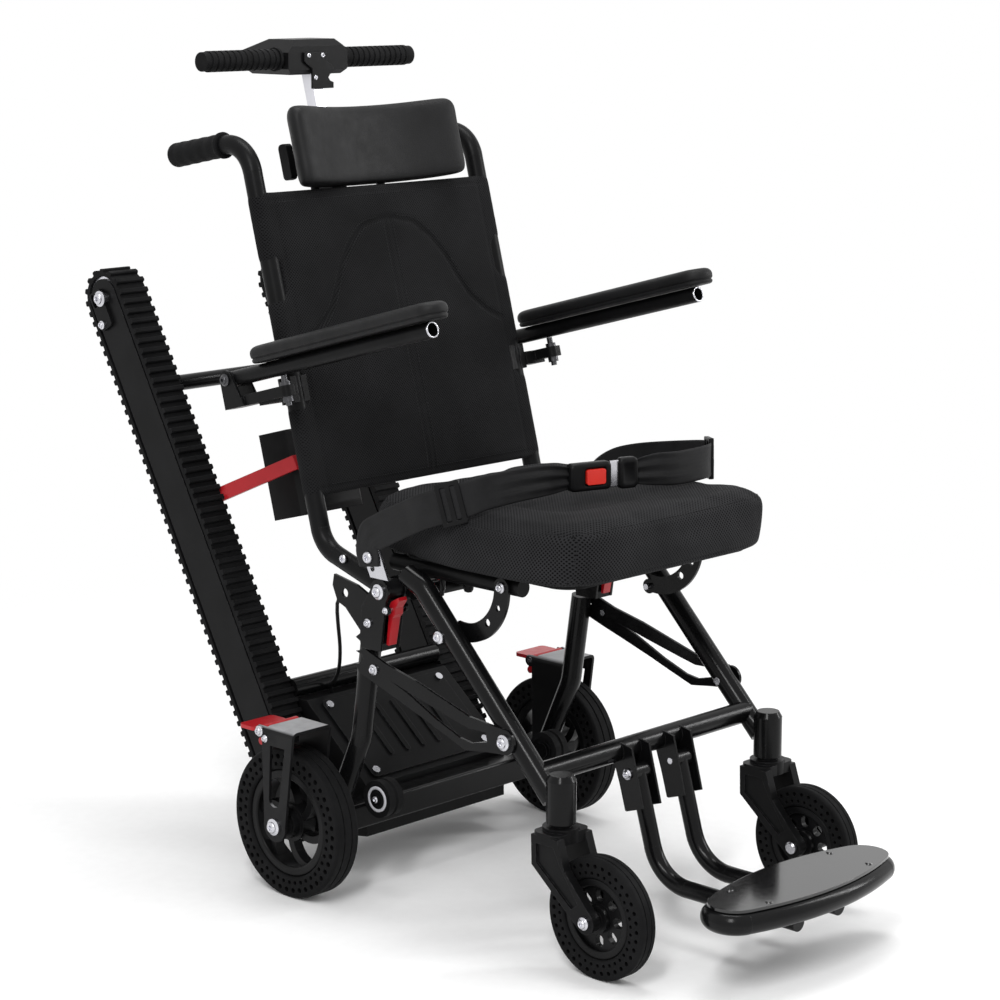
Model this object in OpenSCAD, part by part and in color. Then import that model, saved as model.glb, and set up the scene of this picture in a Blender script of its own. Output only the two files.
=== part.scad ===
// Stair climbing wheelchair in millimetres, +Z up, the sitter faces -Y.

/* [Rear wheels] */
// Diameter of a rear wheel over its tread
rear_wheel_d = 200; // [180:1:204]
// Width of a rear tyre
rear_tyre_w = 38; // [34:1:42]
// Diameter of the rear rim under the tyre
rear_rim_d = 142; // [120:1:150]
// Distance of a rear wheel's mid plane from the middle of the chair
rear_wheel_x = 250; // [248:1:254]
// Place of the rear axle along the chair
rear_axle_y = 127; // [122:1:132]
// Diameter of the rear axle bolt
rear_axle_d = 12; // [10:1:14]
// Number of cells in each row of a rear tyre
rear_cells = 44; // [30:1:48]
// Diameter of an outer cell of a rear tyre
rear_cell_d = 7; // [4:0.5:8]
// Number of curved spokes in a rear wheel
rear_spokes = 6; // [4:1:8]
// Distance between the two inner faces of a rear fork
rear_fork_gap = 60; // [56:1:66]
// Thickness of the rear fork sheet
fork_t = 4; // [3:0.5:6]
// Width of a rear fork plate at its top
fork_top_w = 60; // [54:1:70]
// Height of a rear fork over the tyre
fork_over = 32; // [28:1:40]

/* [Casters] */
// Diameter of a caster wheel over its tread
caster_d = 152; // [130:1:154]
// Width of a caster tyre
caster_w = 26; // [24:1:32]
// Diameter of the caster rim under the tyre
caster_rim_d = 100; // [84:1:104]
// Distance of a caster stem from the middle of the chair
caster_x = 199; // [197:1:201]
// Distance of the caster axle in front of its stem
caster_reach = 67; // [60:1:70]
// Diameter of the caster axle pin
caster_pin_d = 8; // [6:1:10]
// Diameter of the caster stem
stem_d = 16; // [12:1:18]
// Thickness of a caster fork arm
caster_arm_t = 12; // [8:1:14]
// Number of cells in each row of a caster tyre
caster_cells = 36; // [24:1:40]
// Diameter of an outer cell of a caster tyre
caster_cell_d = 5.6; // [3.6:0.2:6]

/* [Frame] */
// Distance of the legs from the middle of the chair
side_x = 200; // [199:1:202]
// Diameter of the leg tubes
leg_d = 28; // [24:1:30]
// Diameter of the caster head tubes
head_d = 37; // [32:1:40]
// Height of a caster head tube
head_h = 60; // [54:1:64]
// Thickness of the side link plates
link_t = 4; // [3:0.5:6]
// Thickness of the quadrant plates
quad_t = 4.4; // [3:0.2:6]
// Diameter of the seat rails
rail_d = 22; // [18:1:24]
// Depth of the lower cross beam
beam_d = 34; // [28:1:38]
// Diameter of a guide roller
roller_d = 50; // [40:1:52]
// Width of a guide roller
roller_w = 25; // [18:1:28]
// Diameter of a guide roller pin
roller_pin_d = 10; // [8:1:12]

/* [Tracks] */
// Distance of a track's mid plane from the middle of the chair
track_x = 160; // [158:1:164]
// Width of a track belt
belt_w = 48; // [44:1:52]
// Distance between the two track axles
track_len = 763; // [740:1:770]
// Lean of the tracks from upright
track_lean = 29.4; // [28:0.2:31]
// Diameter of the track drums
drum_d = 61.4; // [56:0.2:64]
// Thickness of a belt without its lugs
belt_t = 5; // [4:0.5:6]
// Height of a belt lug
lug_h = 5; // [3:0.5:7]
// Number of lugs along one straight run of a belt
lug_n = 51; // [40:1:56]
// Diameter of the drive axle and the idler bolts
track_axle_d = 16; // [12:1:18]
// Thickness of a track cheek plate
cheek_t = 3; // [2:0.5:5]
// Half width of the battery box
battery_half_w = 58; // [50:1:64]
// Height of the battery box
battery_h = 121; // [110:1:130]

/* [Back] */
// Diameter of the back tubes
back_d = 25; // [22:1:26]
// Diameter of the cross bars of the back
back_bar_d = 18; // [14:1:20]
// Distance of the back tubes from the middle of the chair
back_x = 203; // [202:1:205]
// Diameter of the back hinge bolts
back_pin_d = 12; // [8:1:14]
// Height of the back panel
panel_h = 400; // [390:1:406]
// Thickness of the back panel's cloth round the tubes
cloth_t = 1.6; // [1.2:0.1:2]
// Swell of the back panel's front between the tubes
panel_crown = 4; // [2:0.5:8]
// Outer width of the push handle sleeve
sleeve_w = 27; // [24:1:32]
// Width of the square push handle post
post_w = 18; // [14:1:20]
// Half length of the push handle bar
handle_half = 189; // [170:1:195]
// Diameter of the push handle grips
handle_grip_d = 28; // [24:1:32]
// Diameter of the rear push grips
push_grip_d = 32; // [28:1:34]

/* [Armrests and headrest] */
// Distance of an armrest from the middle of the chair
arm_x = 247; // [245:1:250]
// Diameter of an armrest tube
arm_d = 21; // [18:1:22]
// Bore of an armrest tube
arm_bore = 18; // [14:0.5:18]
// Length of an armrest pad
arm_pad_l = 356; // [300:2:370]
// Width of an armrest pad
arm_pad_w = 47; // [40:1:48]
// Thickness of an armrest pad
arm_pad_t = 24; // [20:1:30]
// Diameter of the armrest hinge bolts
arm_pin_d = 8; // [6:1:10]
// Half width of the headrest
headrest_half_w = 148; // [130:1:150]
// Height of the headrest
headrest_h = 105; // [90:1:115]
// Thickness of the headrest
headrest_t = 36; // [30:1:42]

/* [Seat and footrest] */
// Half width of the seat cushion at its front
seat_half_w = 205; // [198:1:208]
// Half width of the seat cushion at its rear
seat_rear_half_w = 187; // [180:1:188]
// Depth of the seat cushion
seat_depth = 395; // [380:1:400]
// Height of the seat cushion at its side
seat_side_h = 66; // [60:1:68]
// Crown of the seat cushion
seat_crown = 8; // [4:1:10]
// Rise of the seat cushion towards its front edge
seat_rise = 10; // [0:1:12]
// Width of the lap belt
strap_w = 44; // [36:1:48]
// Length of the lap belt buckle
buckle_l = 60; // [52:1:68]
// Height of the lap belt buckle
buckle_h = 36; // [32:1:42]
// Length of the lap belt tongue
tongue_l = 40; // [26:1:44]
// Diameter of the footrest loop tube
foot_loop_d = 28; // [24:1:30]
// Half width of the footrest loop
foot_half_w = 152; // [140:1:156]
// Half depth of the footrest loop
foot_half_d = 46; // [40:1:48]
// Thickness of the footplate
plate_t = 3.5; // [3:0.5:6]
// Diameter of the footrest arms
foot_arm_d = 22; // [18:1:24]
// Diameter of the footrest hinge bolts
foot_pin_d = 8; // [6:1:10]

/* [Fits] */
// Gap between faces that seat on each other
gap = 0.3; // [0.2:0.05:0.4]
// Running clearance of a bore round its pin
run_gap = 0.05; // [0.02:0.01:0.09]

/* [Hidden] */
$fn = 64;
rear_z = rear_wheel_d / 2;
caster_z = caster_d / 2;
stem_y = -296;
caster_y = stem_y - caster_reach;
head_z = 180;
fork_in = rear_wheel_x + 4 - rear_fork_gap / 2;
fork_out = fork_in + rear_fork_gap;
fork_top = rear_wheel_d + fork_over;
pedal_y = rear_axle_y + 25;
pedal_z = fork_top - 8;
pedal_pin_d = 8;
leg_r = leg_d / 2;
link_x = side_x + leg_r + gap;
rail_x = side_x - leg_r - 2 * gap - quad_t - rail_d / 2;
rail_z = 450;
beam_y = 101;
beam_z = 97;
pivot = [-2, 421.8];
latch = [-14, 399];
latch_pin_d = 5;
back_r = back_d / 2;
post_in = back_x - back_r - 0.8;
post_out = back_x + back_r + 0.8;
post_t = 3.7;
post_foot = 344;
back_base = [135, 520];
back_lean = 15;
bar_t = 392;
bar_n = 122.5;
bar_s = 437;
track_axle_r = track_axle_d / 2;
drive_y = 214;
drive_z = 75;
drum_r = drum_d / 2;
belt_in = drum_r + gap;
belt_out = belt_in + belt_t;
cheek_r = drum_r - 3.7;
cheek_out = track_x + belt_w / 2 - 1;
cheek_in = track_x - belt_w / 2 + 1;
house_x = cheek_in - 5.3;
house_top = 217.7;
roller_y = beam_y - beam_d / 2 - roller_d / 2 - 2;
roller_z = 126;
roller_x0 = 146.3;
seat_z = 463.3;
seat_rear = 85;
seat_front = seat_rear - seat_depth;
foot_y = -507;
foot_z = 94;
foot_end_r = 26;
foot_side = foot_half_w - foot_end_r;
foot_big_r = (foot_side * foot_side +
    foot_half_d * foot_half_d - foot_end_r * foot_end_r) / (2 * (foot_half_d - foot_end_r));
foot_turn = asin(foot_side / (foot_big_r - foot_end_r));
foot_x = 40;
foot_hinge = [-279, 206];
arm_t = 172;
arm_back = -60;
arm_front = 317;
post_n = -76;
front_y = foot_y - foot_half_d - foot_loop_d / 2;
rear_y = drive_y + track_len * sin(track_lean) + belt_out + lug_h;
mid_y = (front_y + rear_y) / 2;
black = [0.09, 0.09, 0.1];
grey = [0.45, 0.46, 0.48];
silver = [0.75, 0.76, 0.78];
red = [0.75, 0.08, 0.08];
rubber = [0.13, 0.13, 0.14];
leather = [0.15, 0.15, 0.16];
bend_swell = 0.15;

function unit(v) = v / norm(v);
function bend_angle(a, b, c) = acos(unit(a - b) * unit(c - b));
function bend_cut(a, b, c, R) = R / tan(bend_angle(a, b, c) / 2);
function seg_from(p, i, R) =
    i == 0 ? p[0] : p[i] + unit(p[i + 1] - p[i]) * bend_cut(p[i - 1], p[i], p[i + 1], R);
function seg_to(p, i, R) =
    i == len(p) - 1 ? p[i] : p[i] + unit(p[i - 1] - p[i]) * bend_cut(p[i - 1], p[i], p[i + 1], R);

module place() { translate([0, -mid_y, 0]) children(); }

module pair() {
    children();
    mirror([1, 0, 0]) children();
}

module side(s) {
    if (s < 0) mirror([1, 0, 0]) children();
    else children();
}

// A straight round bar between two points
module rod(a, b, r) {
    d = b - a;
    l = norm(d);
    translate(a) rotate([0, acos(d[2] / l), atan2(d[1], d[0])]) cylinder(r = r, h = l);
}

// One bend of a tube, tangent to both straight runs
module elbow(a, b, c, R, r) {
    u = unit(a - b);
    w = unit(c - b);
    phi = bend_angle(a, b, c);
    ctr = b + unit(u + w) * R / sin(phi / 2);
    e1 = unit(b + u * bend_cut(a, b, c, R) - ctr);
    e3 = unit(cross(e1, b + w * bend_cut(a, b, c, R) - ctr));
    e2 = cross(e3, e1);
    multmatrix([[e1[0], e2[0], e3[0], ctr[0]], [e1[1], e2[1], e3[1], ctr[1]],
            [e1[2], e2[2], e3[2], ctr[2]], [0, 0, 0, 1]])
        rotate_extrude(angle = 180 - phi) translate([R, 0]) circle(r + bend_swell);
}

// A tube that follows a list of points with bends of one radius
module pipe(p, R, r) {
    for (i = [0 : len(p) - 2]) {
        d = unit(p[i + 1] - p[i]) * 1.5;
        rod(seg_from(p, i, R) - (i > 0 ? d : 0 * d), seg_to(p, i + 1, R) +
            (i < len(p) - 2 ? d : 0 * d), r);
    }
    if (len(p) > 2) for (i = [1 : len(p) - 2]) elbow(p[i - 1], p[i], p[i + 1], R, r);
}

module xcyl(x0, x1, y, z, r) { translate([x0, y, z]) rotate([0, 90, 0]) cylinder(r = r, h = x1 - x0); }

module box(a, b) { translate(a) cube(b - a); }

// A flat outline given in Y and Z, extruded along X
module yz(x0, x1) { translate([x0, 0, 0]) rotate([90, 0, 90]) linear_extrude(x1 - x0) children(); }

module rrect(w, h, r) {
    square([w - 2 * r, h], center = true);
    square([w, h - 2 * r], center = true);
    for (i = [-1, 1], j = [-1, 1]) translate([i * (w / 2 - r), j * (h / 2 - r)]) circle(r);
}

// A bolt head seen from outside the chair
module head(x, y, z, r, h) {
    xcyl(x, x + h * 0.6, y, z, r);
    translate([x + h * 0.6, y, z]) rotate([0, 90, 0]) cylinder(r1 = r, r2 = r * 0.7, h = h * 0.4);
}

// A skin over a stack of rings, closed at both ends
module skin(rings) {
    m = len(rings);
    n = len(rings[0]);
    pts = [for (r = rings) for (p = r) p];
    walls = [for (i = [0 : m - 2]) for (j = [0 : n - 1]) for (k = [0, 1])
        let (a = i * n + j, b = i * n + (j + 1) % n, c = a + n, d = b + n) k == 0 ? [a, b, d] : [a,
            d, c]];
    ends = [[for (j = [n - 1 : -1 : 0]) j], [for (j = [0 : n - 1]) (m - 1) * n + j]];
    polyhedron(points = pts, faces = concat(walls, ends), convexity = 4);
}

// The back's own axes: x, forward from the tubes, up along the tubes
module on_back() {
    translate([0, back_base[0], back_base[1]]) rotate([-back_lean, 0, 0]) mirror([0, 1, 0]) children();
}

// The track's own axes: x, outward from the run, up along the run
module on_track() { translate([0, drive_y, drive_z]) rotate([-track_lean, 0, 0]) children(); }

// Rear wheels

module wheel_at_rear(s) { side(s) translate([rear_wheel_x, rear_axle_y, rear_z]) rotate([0, 90, 0])
    children(); }

module airless_tyre(d, rim, w, n, cell, deep) {
    ri = rim / 2 + gap;
    ro = d / 2;
    difference() {
        rotate_extrude() difference() {
            translate([(ri + ro) / 2, 0]) rrect(ro - ri, w, 4);
            for (k = [-1, 1]) translate([ro, k * w / 6]) square([deep * 2, w / 16], center = true);
        }
        for (i = [0 : n - 1]) rotate(i * 360 / n) {
            translate([ri + (ro - ri) * 0.63, 0, -w]) cylinder(d = cell, h = 2 * w);
            rotate(180 / n) translate([ri + (ro - ri) * 0.27, 0, -w]) cylinder(d = cell * 0.82,
                h = 2 * w);
        }
    }
}

module rear_tyre(s) {
    color(rubber) wheel_at_rear(s) airless_tyre(rear_wheel_d, rear_rim_d, rear_tyre_w, rear_cells,
        rear_cell_d, 1.5);
}
module rear_tyre_right() { place() rear_tyre(-1); }
module rear_tyre_left() { place() rear_tyre(1); }

module rear_hub(s) {
    r = rear_rim_d / 2;
    x0 = fork_in + gap;
    x1 = fork_out - gap;
    color(black) side(s) difference() {
        union() {
            translate([rear_wheel_x, rear_axle_y, rear_z]) rotate([0, 90, 0]) {
                rotate_extrude() translate([r - 6, 0]) rrect(12, rear_tyre_w - 6, 3);
                translate([0, 0, -6]) linear_extrude(14) {
                    for (i = [0 : rear_spokes - 1]) rotate(i * 360 / rear_spokes) intersection() {
                        translate([r * 0.55, 0]) difference() {
                            circle(r * 0.58);
                            circle(r * 0.44);
                        }
                        translate([0, 0]) square([r - 4, r - 4]);
                        circle(r - 4);
                    }
                }
                translate([0, 0, -11]) cylinder(r = r * 0.36, h = 22);
            }
            xcyl(x0, x1, rear_axle_y, rear_z, 15);
            xcyl(rear_wheel_x, rear_wheel_x + 22, rear_axle_y, rear_z, 20);
        }
        xcyl(x0 - 1, x1 + 1, rear_axle_y, rear_z, rear_axle_d / 2 + run_gap);
    }
}
module rear_hub_right() { place() rear_hub(-1); }
module rear_hub_left() { place() rear_hub(1); }

module fork_outline() {
    y0 = rear_axle_y - 38;
    polygon([[y0, fork_top], [y0 + fork_top_w, fork_top], [rear_axle_y + 20, rear_z],
            [rear_axle_y - 20, rear_z]]);
    translate([rear_axle_y, rear_z]) circle(20.5);
    translate([pedal_y, pedal_z]) circle(9);
}

module fork_section() {
    w = rear_fork_gap + 2 * fork_t;
    difference() {
        translate([fork_in - fork_t + w / 2, fork_top - 110]) rrect(w, 220, 8);
        translate([fork_in + rear_fork_gap / 2, fork_top - fork_t - 110]) rrect(rear_fork_gap, 220, 4);
        translate([fork_in - 20, -60]) square([w + 40, rear_z + 30]);
    }
}

module rear_forks() {
    y0 = rear_axle_y - 38;
    color(grey) place() pair() difference() {
        union() {
            intersection() {
                yz(fork_in - fork_t - 1, fork_out + fork_t + 1) fork_outline();
                translate([0, 300, 0]) rotate([90, 0, 0]) linear_extrude(300) fork_section();
            }
            yz(fork_in - fork_t, fork_in) intersection() {
                fork_outline();
                translate([0, 0]) square([300, rear_z + 40]);
            }
            yz(fork_out, fork_out + fork_t) intersection() {
                fork_outline();
                translate([0, 0]) square([300, rear_z + 40]);
            }
            yz(fork_in - fork_t, fork_in) polygon([[beam_y - beam_d / 2, beam_z - beam_d / 2],
                    [rear_axle_y, rear_z - 18], [rear_axle_y, rear_z + 18], [beam_y - beam_d / 2,
                        beam_z + beam_d / 2]]);
        }
        box([fork_in - 0.01, y0 + fork_top_w - 8, fork_top - 30], [fork_out + 0.01, y0 + fork_top_w +
            20, fork_top + 1]);
        yz(fork_out - 1, fork_out + fork_t + 1) {
            polygon([[rear_axle_y - 22, rear_wheel_d + 8], [rear_axle_y + 6, rear_wheel_d + 8],
                    [rear_axle_y + 10, rear_z + 36], [rear_axle_y - 10, rear_z + 36]]);
            translate([rear_axle_y, rear_z + 36]) circle(10);
        }
        xcyl(fork_in - 20, fork_out + 20, rear_axle_y, rear_z, rear_axle_d / 2 + run_gap);
        xcyl(fork_in - 20, fork_out + 20, pedal_y, pedal_z, pedal_pin_d / 2 + run_gap);
    }
}

module brake_pedal(s) {
    x0 = fork_in + gap;
    x1 = fork_out - gap;
    color(red) side(s) difference() {
        union() {
            xcyl(x0, x1, pedal_y, pedal_z, 7);
            box([x0 + 12, pedal_y, pedal_z - 2.5], [x1 - 4, pedal_y + 14, pedal_z + 2.5]);
            translate([(x0 + x1) / 2 + 6, pedal_y + 26, pedal_z - 2.5]) linear_extrude(5) rrect(58,
                30, 6);
            yz(x0 + 4, x0 + 9) polygon([[pedal_y - 6, pedal_z - 4], [pedal_y + 6, pedal_z - 4],
                [pedal_y + 13, pedal_z - 17], [pedal_y + 3, pedal_z - 17]]);
            yz(x1 - 9, x1 - 4) polygon([[pedal_y - 6, pedal_z - 4], [pedal_y + 6, pedal_z - 4],
                [pedal_y + 13, pedal_z - 17], [pedal_y + 3, pedal_z - 17]]);
            xcyl(x0 + 4, x1 - 4, pedal_y + 8, pedal_z - 17, 5);
        }
        xcyl(x0 - 1, x1 + 1, pedal_y, pedal_z, pedal_pin_d / 2 + run_gap);
    }
}
module brake_pedal_right() { place() brake_pedal(-1); }
module brake_pedal_left() { place() brake_pedal(1); }

// Casters

caster_in = caster_w / 2 + 6;
caster_out = caster_in + caster_arm_t;

module caster_arm_outline() {
    polygon([[stem_y + 21, 168], [stem_y + 20, caster_z + 54], [caster_y + 11, caster_z - 9],
            [caster_y - 12, caster_z + 8], [stem_y - 34, caster_z + 56], [stem_y - 22, 168]]);
    translate([caster_y, caster_z]) circle(14);
}

module caster_fork(s) {
    color(black) side(s) difference() {
        union() {
            for (k = [-1, 1]) translate([k * (caster_in + caster_out) / 2, 0, 0])
                yz(caster_x - caster_arm_t / 2, caster_x + caster_arm_t / 2) caster_arm_outline();
            translate([caster_x, stem_y, 158]) linear_extrude(14) rrect(2 * caster_out, 44, 12);
            translate([caster_x, stem_y, 158]) cylinder(r = 23, h = 18);
            translate([caster_x, stem_y, 170]) cylinder(r = 14, h = head_z - 170 - gap);
            translate([caster_x, stem_y, 170]) cylinder(d = stem_d, h = head_z + head_h - 8.5 - 170);
        }
        for (k = [-1, 1]) translate([k * caster_out, 0, 0]) yz(caster_x - 3, caster_x + 3)
            polygon([[stem_y + 13, 158], [stem_y + 12, caster_z + 57], [caster_y + 22, caster_z + 12],
                    [caster_y + 12, caster_z + 20], [stem_y - 27, caster_z + 60], [stem_y - 15, 158]]);
        xcyl(caster_x - caster_out - 1, caster_x + caster_out + 1, caster_y, caster_z,
            caster_pin_d / 2 + run_gap);
    }
}
module caster_fork_right() { place() caster_fork(-1); }
module caster_fork_left() { place() caster_fork(1); }

module caster_pins(s) {
    color(silver) side(s) {
        xcyl(caster_x - caster_out - 1, caster_x + caster_out + 1, caster_y, caster_z,
            caster_pin_d / 2);
        head(caster_x + caster_out, caster_y, caster_z, 8, 5);
        mirror([1, 0, 0]) head(caster_out - caster_x, caster_y, caster_z, 8, 5);
    }
}
module caster_pins_right() { place() caster_pins(-1); }
module caster_pins_left() { place() caster_pins(1); }

module wheel_at_caster(s) { side(s) translate([caster_x, caster_y, caster_z]) rotate([0, 90, 0])
    children(); }

module caster_hub(s) {
    r = caster_rim_d / 2;
    l = 2 * caster_in - 2 * gap;
    color(black) wheel_at_caster(s) difference() {
        union() {
            rotate_extrude() translate([r - 5, 0]) rrect(10, caster_w - 5, 2.5);
            difference() {
                translate([0, 0, -4]) cylinder(r = r - 3, h = 8);
                for (i = [0 : 7]) rotate(i * 45) translate([r * 0.58, 0, -10]) linear_extrude(20)
                    rrect(r * 0.3, r * 0.24, r * 0.11);
            }
            translate([0, 0, -l / 2]) cylinder(r = 11, h = l);
            translate([0, 0, -12]) cylinder(r = r * 0.36, h = 24);
        }
        translate([0, 0, -l]) cylinder(r = caster_pin_d / 2 + run_gap, h = 2 * l);
    }
}
module caster_hub_right() { place() caster_hub(-1); }
module caster_hub_left() { place() caster_hub(1); }

module caster_tyre(s) {
    color(rubber) wheel_at_caster(s) airless_tyre(caster_d, caster_rim_d, caster_w, caster_cells,
        caster_cell_d, 1.5);
}
module caster_tyre_right() { place() caster_tyre(-1); }
module caster_tyre_left() { place() caster_tyre(1); }

// Frame

module base_frame() {
    color(black) place() {
        difference() {
            union() {
                translate([0, beam_y, beam_z]) rotate([0, 90, 0])
                    linear_extrude(2 * (fork_in - fork_t - gap), center = true)
                    rrect(beam_d, beam_d, 4);
                pair() pipe([[side_x, 35, post_foot - 2.5], [side_x, 54, 217], [side_x, 104, 108]],
                    60, leg_r);
            }
            pair() xcyl(fork_in - 12, fork_in, rear_axle_y, rear_z, rear_axle_d / 2 + 8);
        }
        pair() {
            yz(roller_x0 - gap - 4, roller_x0 - gap) {
                polygon([[beam_y - 8, beam_z + beam_d / 2 - 6], [beam_y - 8, beam_z + beam_d / 2 + 8],
                        [roller_y, roller_z + 11], [roller_y, roller_z - 11], [beam_y - beam_d / 2,
                            beam_z - 8]]);
                translate([roller_y, roller_z]) circle(11);
            }
            xcyl(roller_x0 - 2, roller_x0 + roller_w + 2, roller_y, roller_z, roller_pin_d / 2);
            xcyl(roller_x0 + roller_w + gap, roller_x0 + roller_w + 3, roller_y, roller_z,
                roller_pin_d / 2 + 3);
        }
    }
}

module guide_roller(s) {
    color(rubber) side(s) difference() {
        translate([roller_x0 + roller_w / 2, roller_y, roller_z]) rotate([0, 90, 0]) rotate_extrude()
            difference() {
                translate([roller_d / 4, 0]) square([roller_d / 2, roller_w], center = true);
                for (k = [-1, 1]) translate([roller_d / 3.2, k * roller_w / 2])
                    square([roller_d / 10, 5], center = true);
                translate([roller_d / 2, 0]) circle(2.5);
            }
        xcyl(roller_x0 - 1, roller_x0 + roller_w + 1, roller_y, roller_z, roller_pin_d / 2 + run_gap);
    }
}
module guide_roller_right() { place() guide_roller(-1); }
module guide_roller_left() { place() guide_roller(1); }

module front_frame() {
    bar = [-258, 232];
    color(black) place() difference() {
        union() {
            pair() {
                pipe([[side_x, -32, 445.6], [side_x, -62, 433.6], [side_x, -283, 206]], 30, leg_r);
                translate([caster_x, stem_y, head_z]) cylinder(d = head_d, h = head_h - 7);
                translate([caster_x, stem_y, head_z + head_h - 7]) cylinder(d1 = head_d, d2 =
                    head_d - 8, h = 7);
                for (x = [foot_x - foot_arm_d / 2 - 7, foot_x + foot_arm_d / 2 + 4]) yz(x, x + 3)
                    polygon([[-256, 246], [-284, 240], [-304, 166], [-277, 157], [-254, 222]]);
                yz(foot_x - foot_arm_d / 2 - 6, foot_x + foot_arm_d / 2 + 6)
                    polygon([[-254, 225], [-274, 157], [-277, 157.6], [-257, 225.6]]);
            }
            xcyl(-side_x, side_x, bar[0], bar[1], leg_r);
        }
        pair() {
            translate([caster_x, stem_y, head_z - 1]) cylinder(r = stem_d / 2 + run_gap, h =
                head_h - 6);
            xcyl(foot_x - 30, foot_x + 30, foot_hinge[0], foot_hinge[1], foot_pin_d / 2 + run_gap);
            xcyl(side_x - 30, side_x + 30, -219, 268, 5 + run_gap);
            xcyl(side_x - 30, side_x + 30, -103, 379, 4 + run_gap);
        }
    }
}

module link_outline() {
    difference() {
        union() {
            polygon([[44, 337], [27, 342], [-11, 329], [-63, 317], [-158, 289], [-215, 284], [-224,
                253],
                    [-189, 250], [-152, 245], [-112, 259], [-79, 271], [-25, 289], [6, 299], [38, 310],
                    [46, 320], [36, 321], [30, 327], [33, 334]]);
            translate([-219, 268]) circle(16);
        }
        polygon([[-19, 309], [-71, 295], [-132, 280], [-158, 274], [-187, 275], [-190, 263], [-162,
            256],
                [-142, 259], [-102, 274], [-50, 298]]);
    }
}

module side_links() {
    color(black) place() pair() difference() {
        yz(link_x, link_x + link_t) link_outline();
        xcyl(link_x - 1, link_x + link_t + 1, -219, 268, 5 + run_gap);
        xcyl(link_x - 1, link_x + link_t + 1, 10, 318, 4 + run_gap);
    }
}

module post_outline() {
    polygon([[-3, post_foot], [33, post_foot], [34, 352], [42, 356], [34, 362], [31, 397], [13, 424],
        [-17, 426], [-12, 403]]);
    translate(pivot) circle(16);
    translate(latch) circle(6);
}

module pivot_posts() {
    color(black) place() {
        pair() difference() {
            union() {
                yz(post_out, post_out + post_t) post_outline();
                yz(post_in - post_t, post_in) post_outline();
                box([post_in - 1, -2, post_foot], [post_out + 1, 32, 400]);
                yz(back_x - 2, back_x + 2) polygon([[30, 350], [46, 357], [77, 386], [92, 392], [101,
                    412], [98, 427], [55, 419], [30, 408]]);
            }
            xcyl(post_in - 20, post_out + 20, pivot[0], pivot[1], back_pin_d / 2 + run_gap);
            xcyl(back_x - 20, back_x + 20, 78, 405, 6);
            xcyl(post_in - 20, post_out + 20, latch[0], latch[1], latch_pin_d / 2 + run_gap);
            box([post_in + 6, -3, 362], [post_out - 6, 24, 388]);
        }
    }
}

module latch_lever(s) {
    color(red) side(s) difference() {
        yz(back_x - 7, back_x + 7) polygon([[-28, 412], [-26, 416], [-13, 409], [-8, 399], [-9, 392],
            [-4, 352],
                [-8, 351], [-15.5, 388], [-20, 393], [-21, 402]]);
        xcyl(back_x - 20, back_x + 20, latch[0], latch[1], latch_pin_d / 2 + run_gap);
    }
}
module latch_lever_right() { place() latch_lever(-1); }
module latch_lever_left() { place() latch_lever(1); }

module quadrant_plates() {
    x1 = side_x - leg_r - gap;
    color(silver) place() pair() difference() {
        yz(x1 - quad_t, x1) difference() {
            union() {
                intersection() {
                    translate([-118, 447]) circle(76);
                    translate([-118, 447]) polygon([[0, 0], [22, -110], [-110, -110], [-110, 8],
                        [-60, 8]]);
                }
                translate([-103, 379]) circle(10);
                translate([-182, rail_z]) circle(12);
            }
            translate([-118, 447]) circle(52);
            translate([-158, 402]) circle(5);
            translate([-176, 423]) circle(4);
        }
        xcyl(x1 - 20, x1 + 1, -103, 379, 4 + run_gap);
        xcyl(x1 - 20, x1 + 1, -182, rail_z, 4 + run_gap);
    }
}

module seat_frame() {
    r = rail_d / 2;
    color(black) place() difference() {
        union() {
            pair() rod([rail_x, 20, rail_z], [rail_x, -205, rail_z], r);
            pair() rod([rail_x, -21, 414], [rail_x, -21, rail_z], 7);
            xcyl(-rail_x, rail_x, 6, rail_z + 2, 9);
            xcyl(-rail_x, rail_x, -140, rail_z + 2, 9);
            xcyl(gap + post_t - post_in, post_in - post_t - gap, -6, 414, 10);
            xcyl(-rail_x - 9, rail_x + 9, -21, 416, 9);
            translate([0, -137, seat_z - 4.3]) linear_extrude(4) rrect(2 * rail_x + 10, 296, 30);
        }
        xcyl(rail_x, rail_x + 60, -182, rail_z, 4 + run_gap);
        mirror([1, 0, 0]) xcyl(rail_x, rail_x + 60, -182, rail_z, 4 + run_gap);
        xcyl(-post_in, post_in, -6, 414, 7.5);
    }
}

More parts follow.
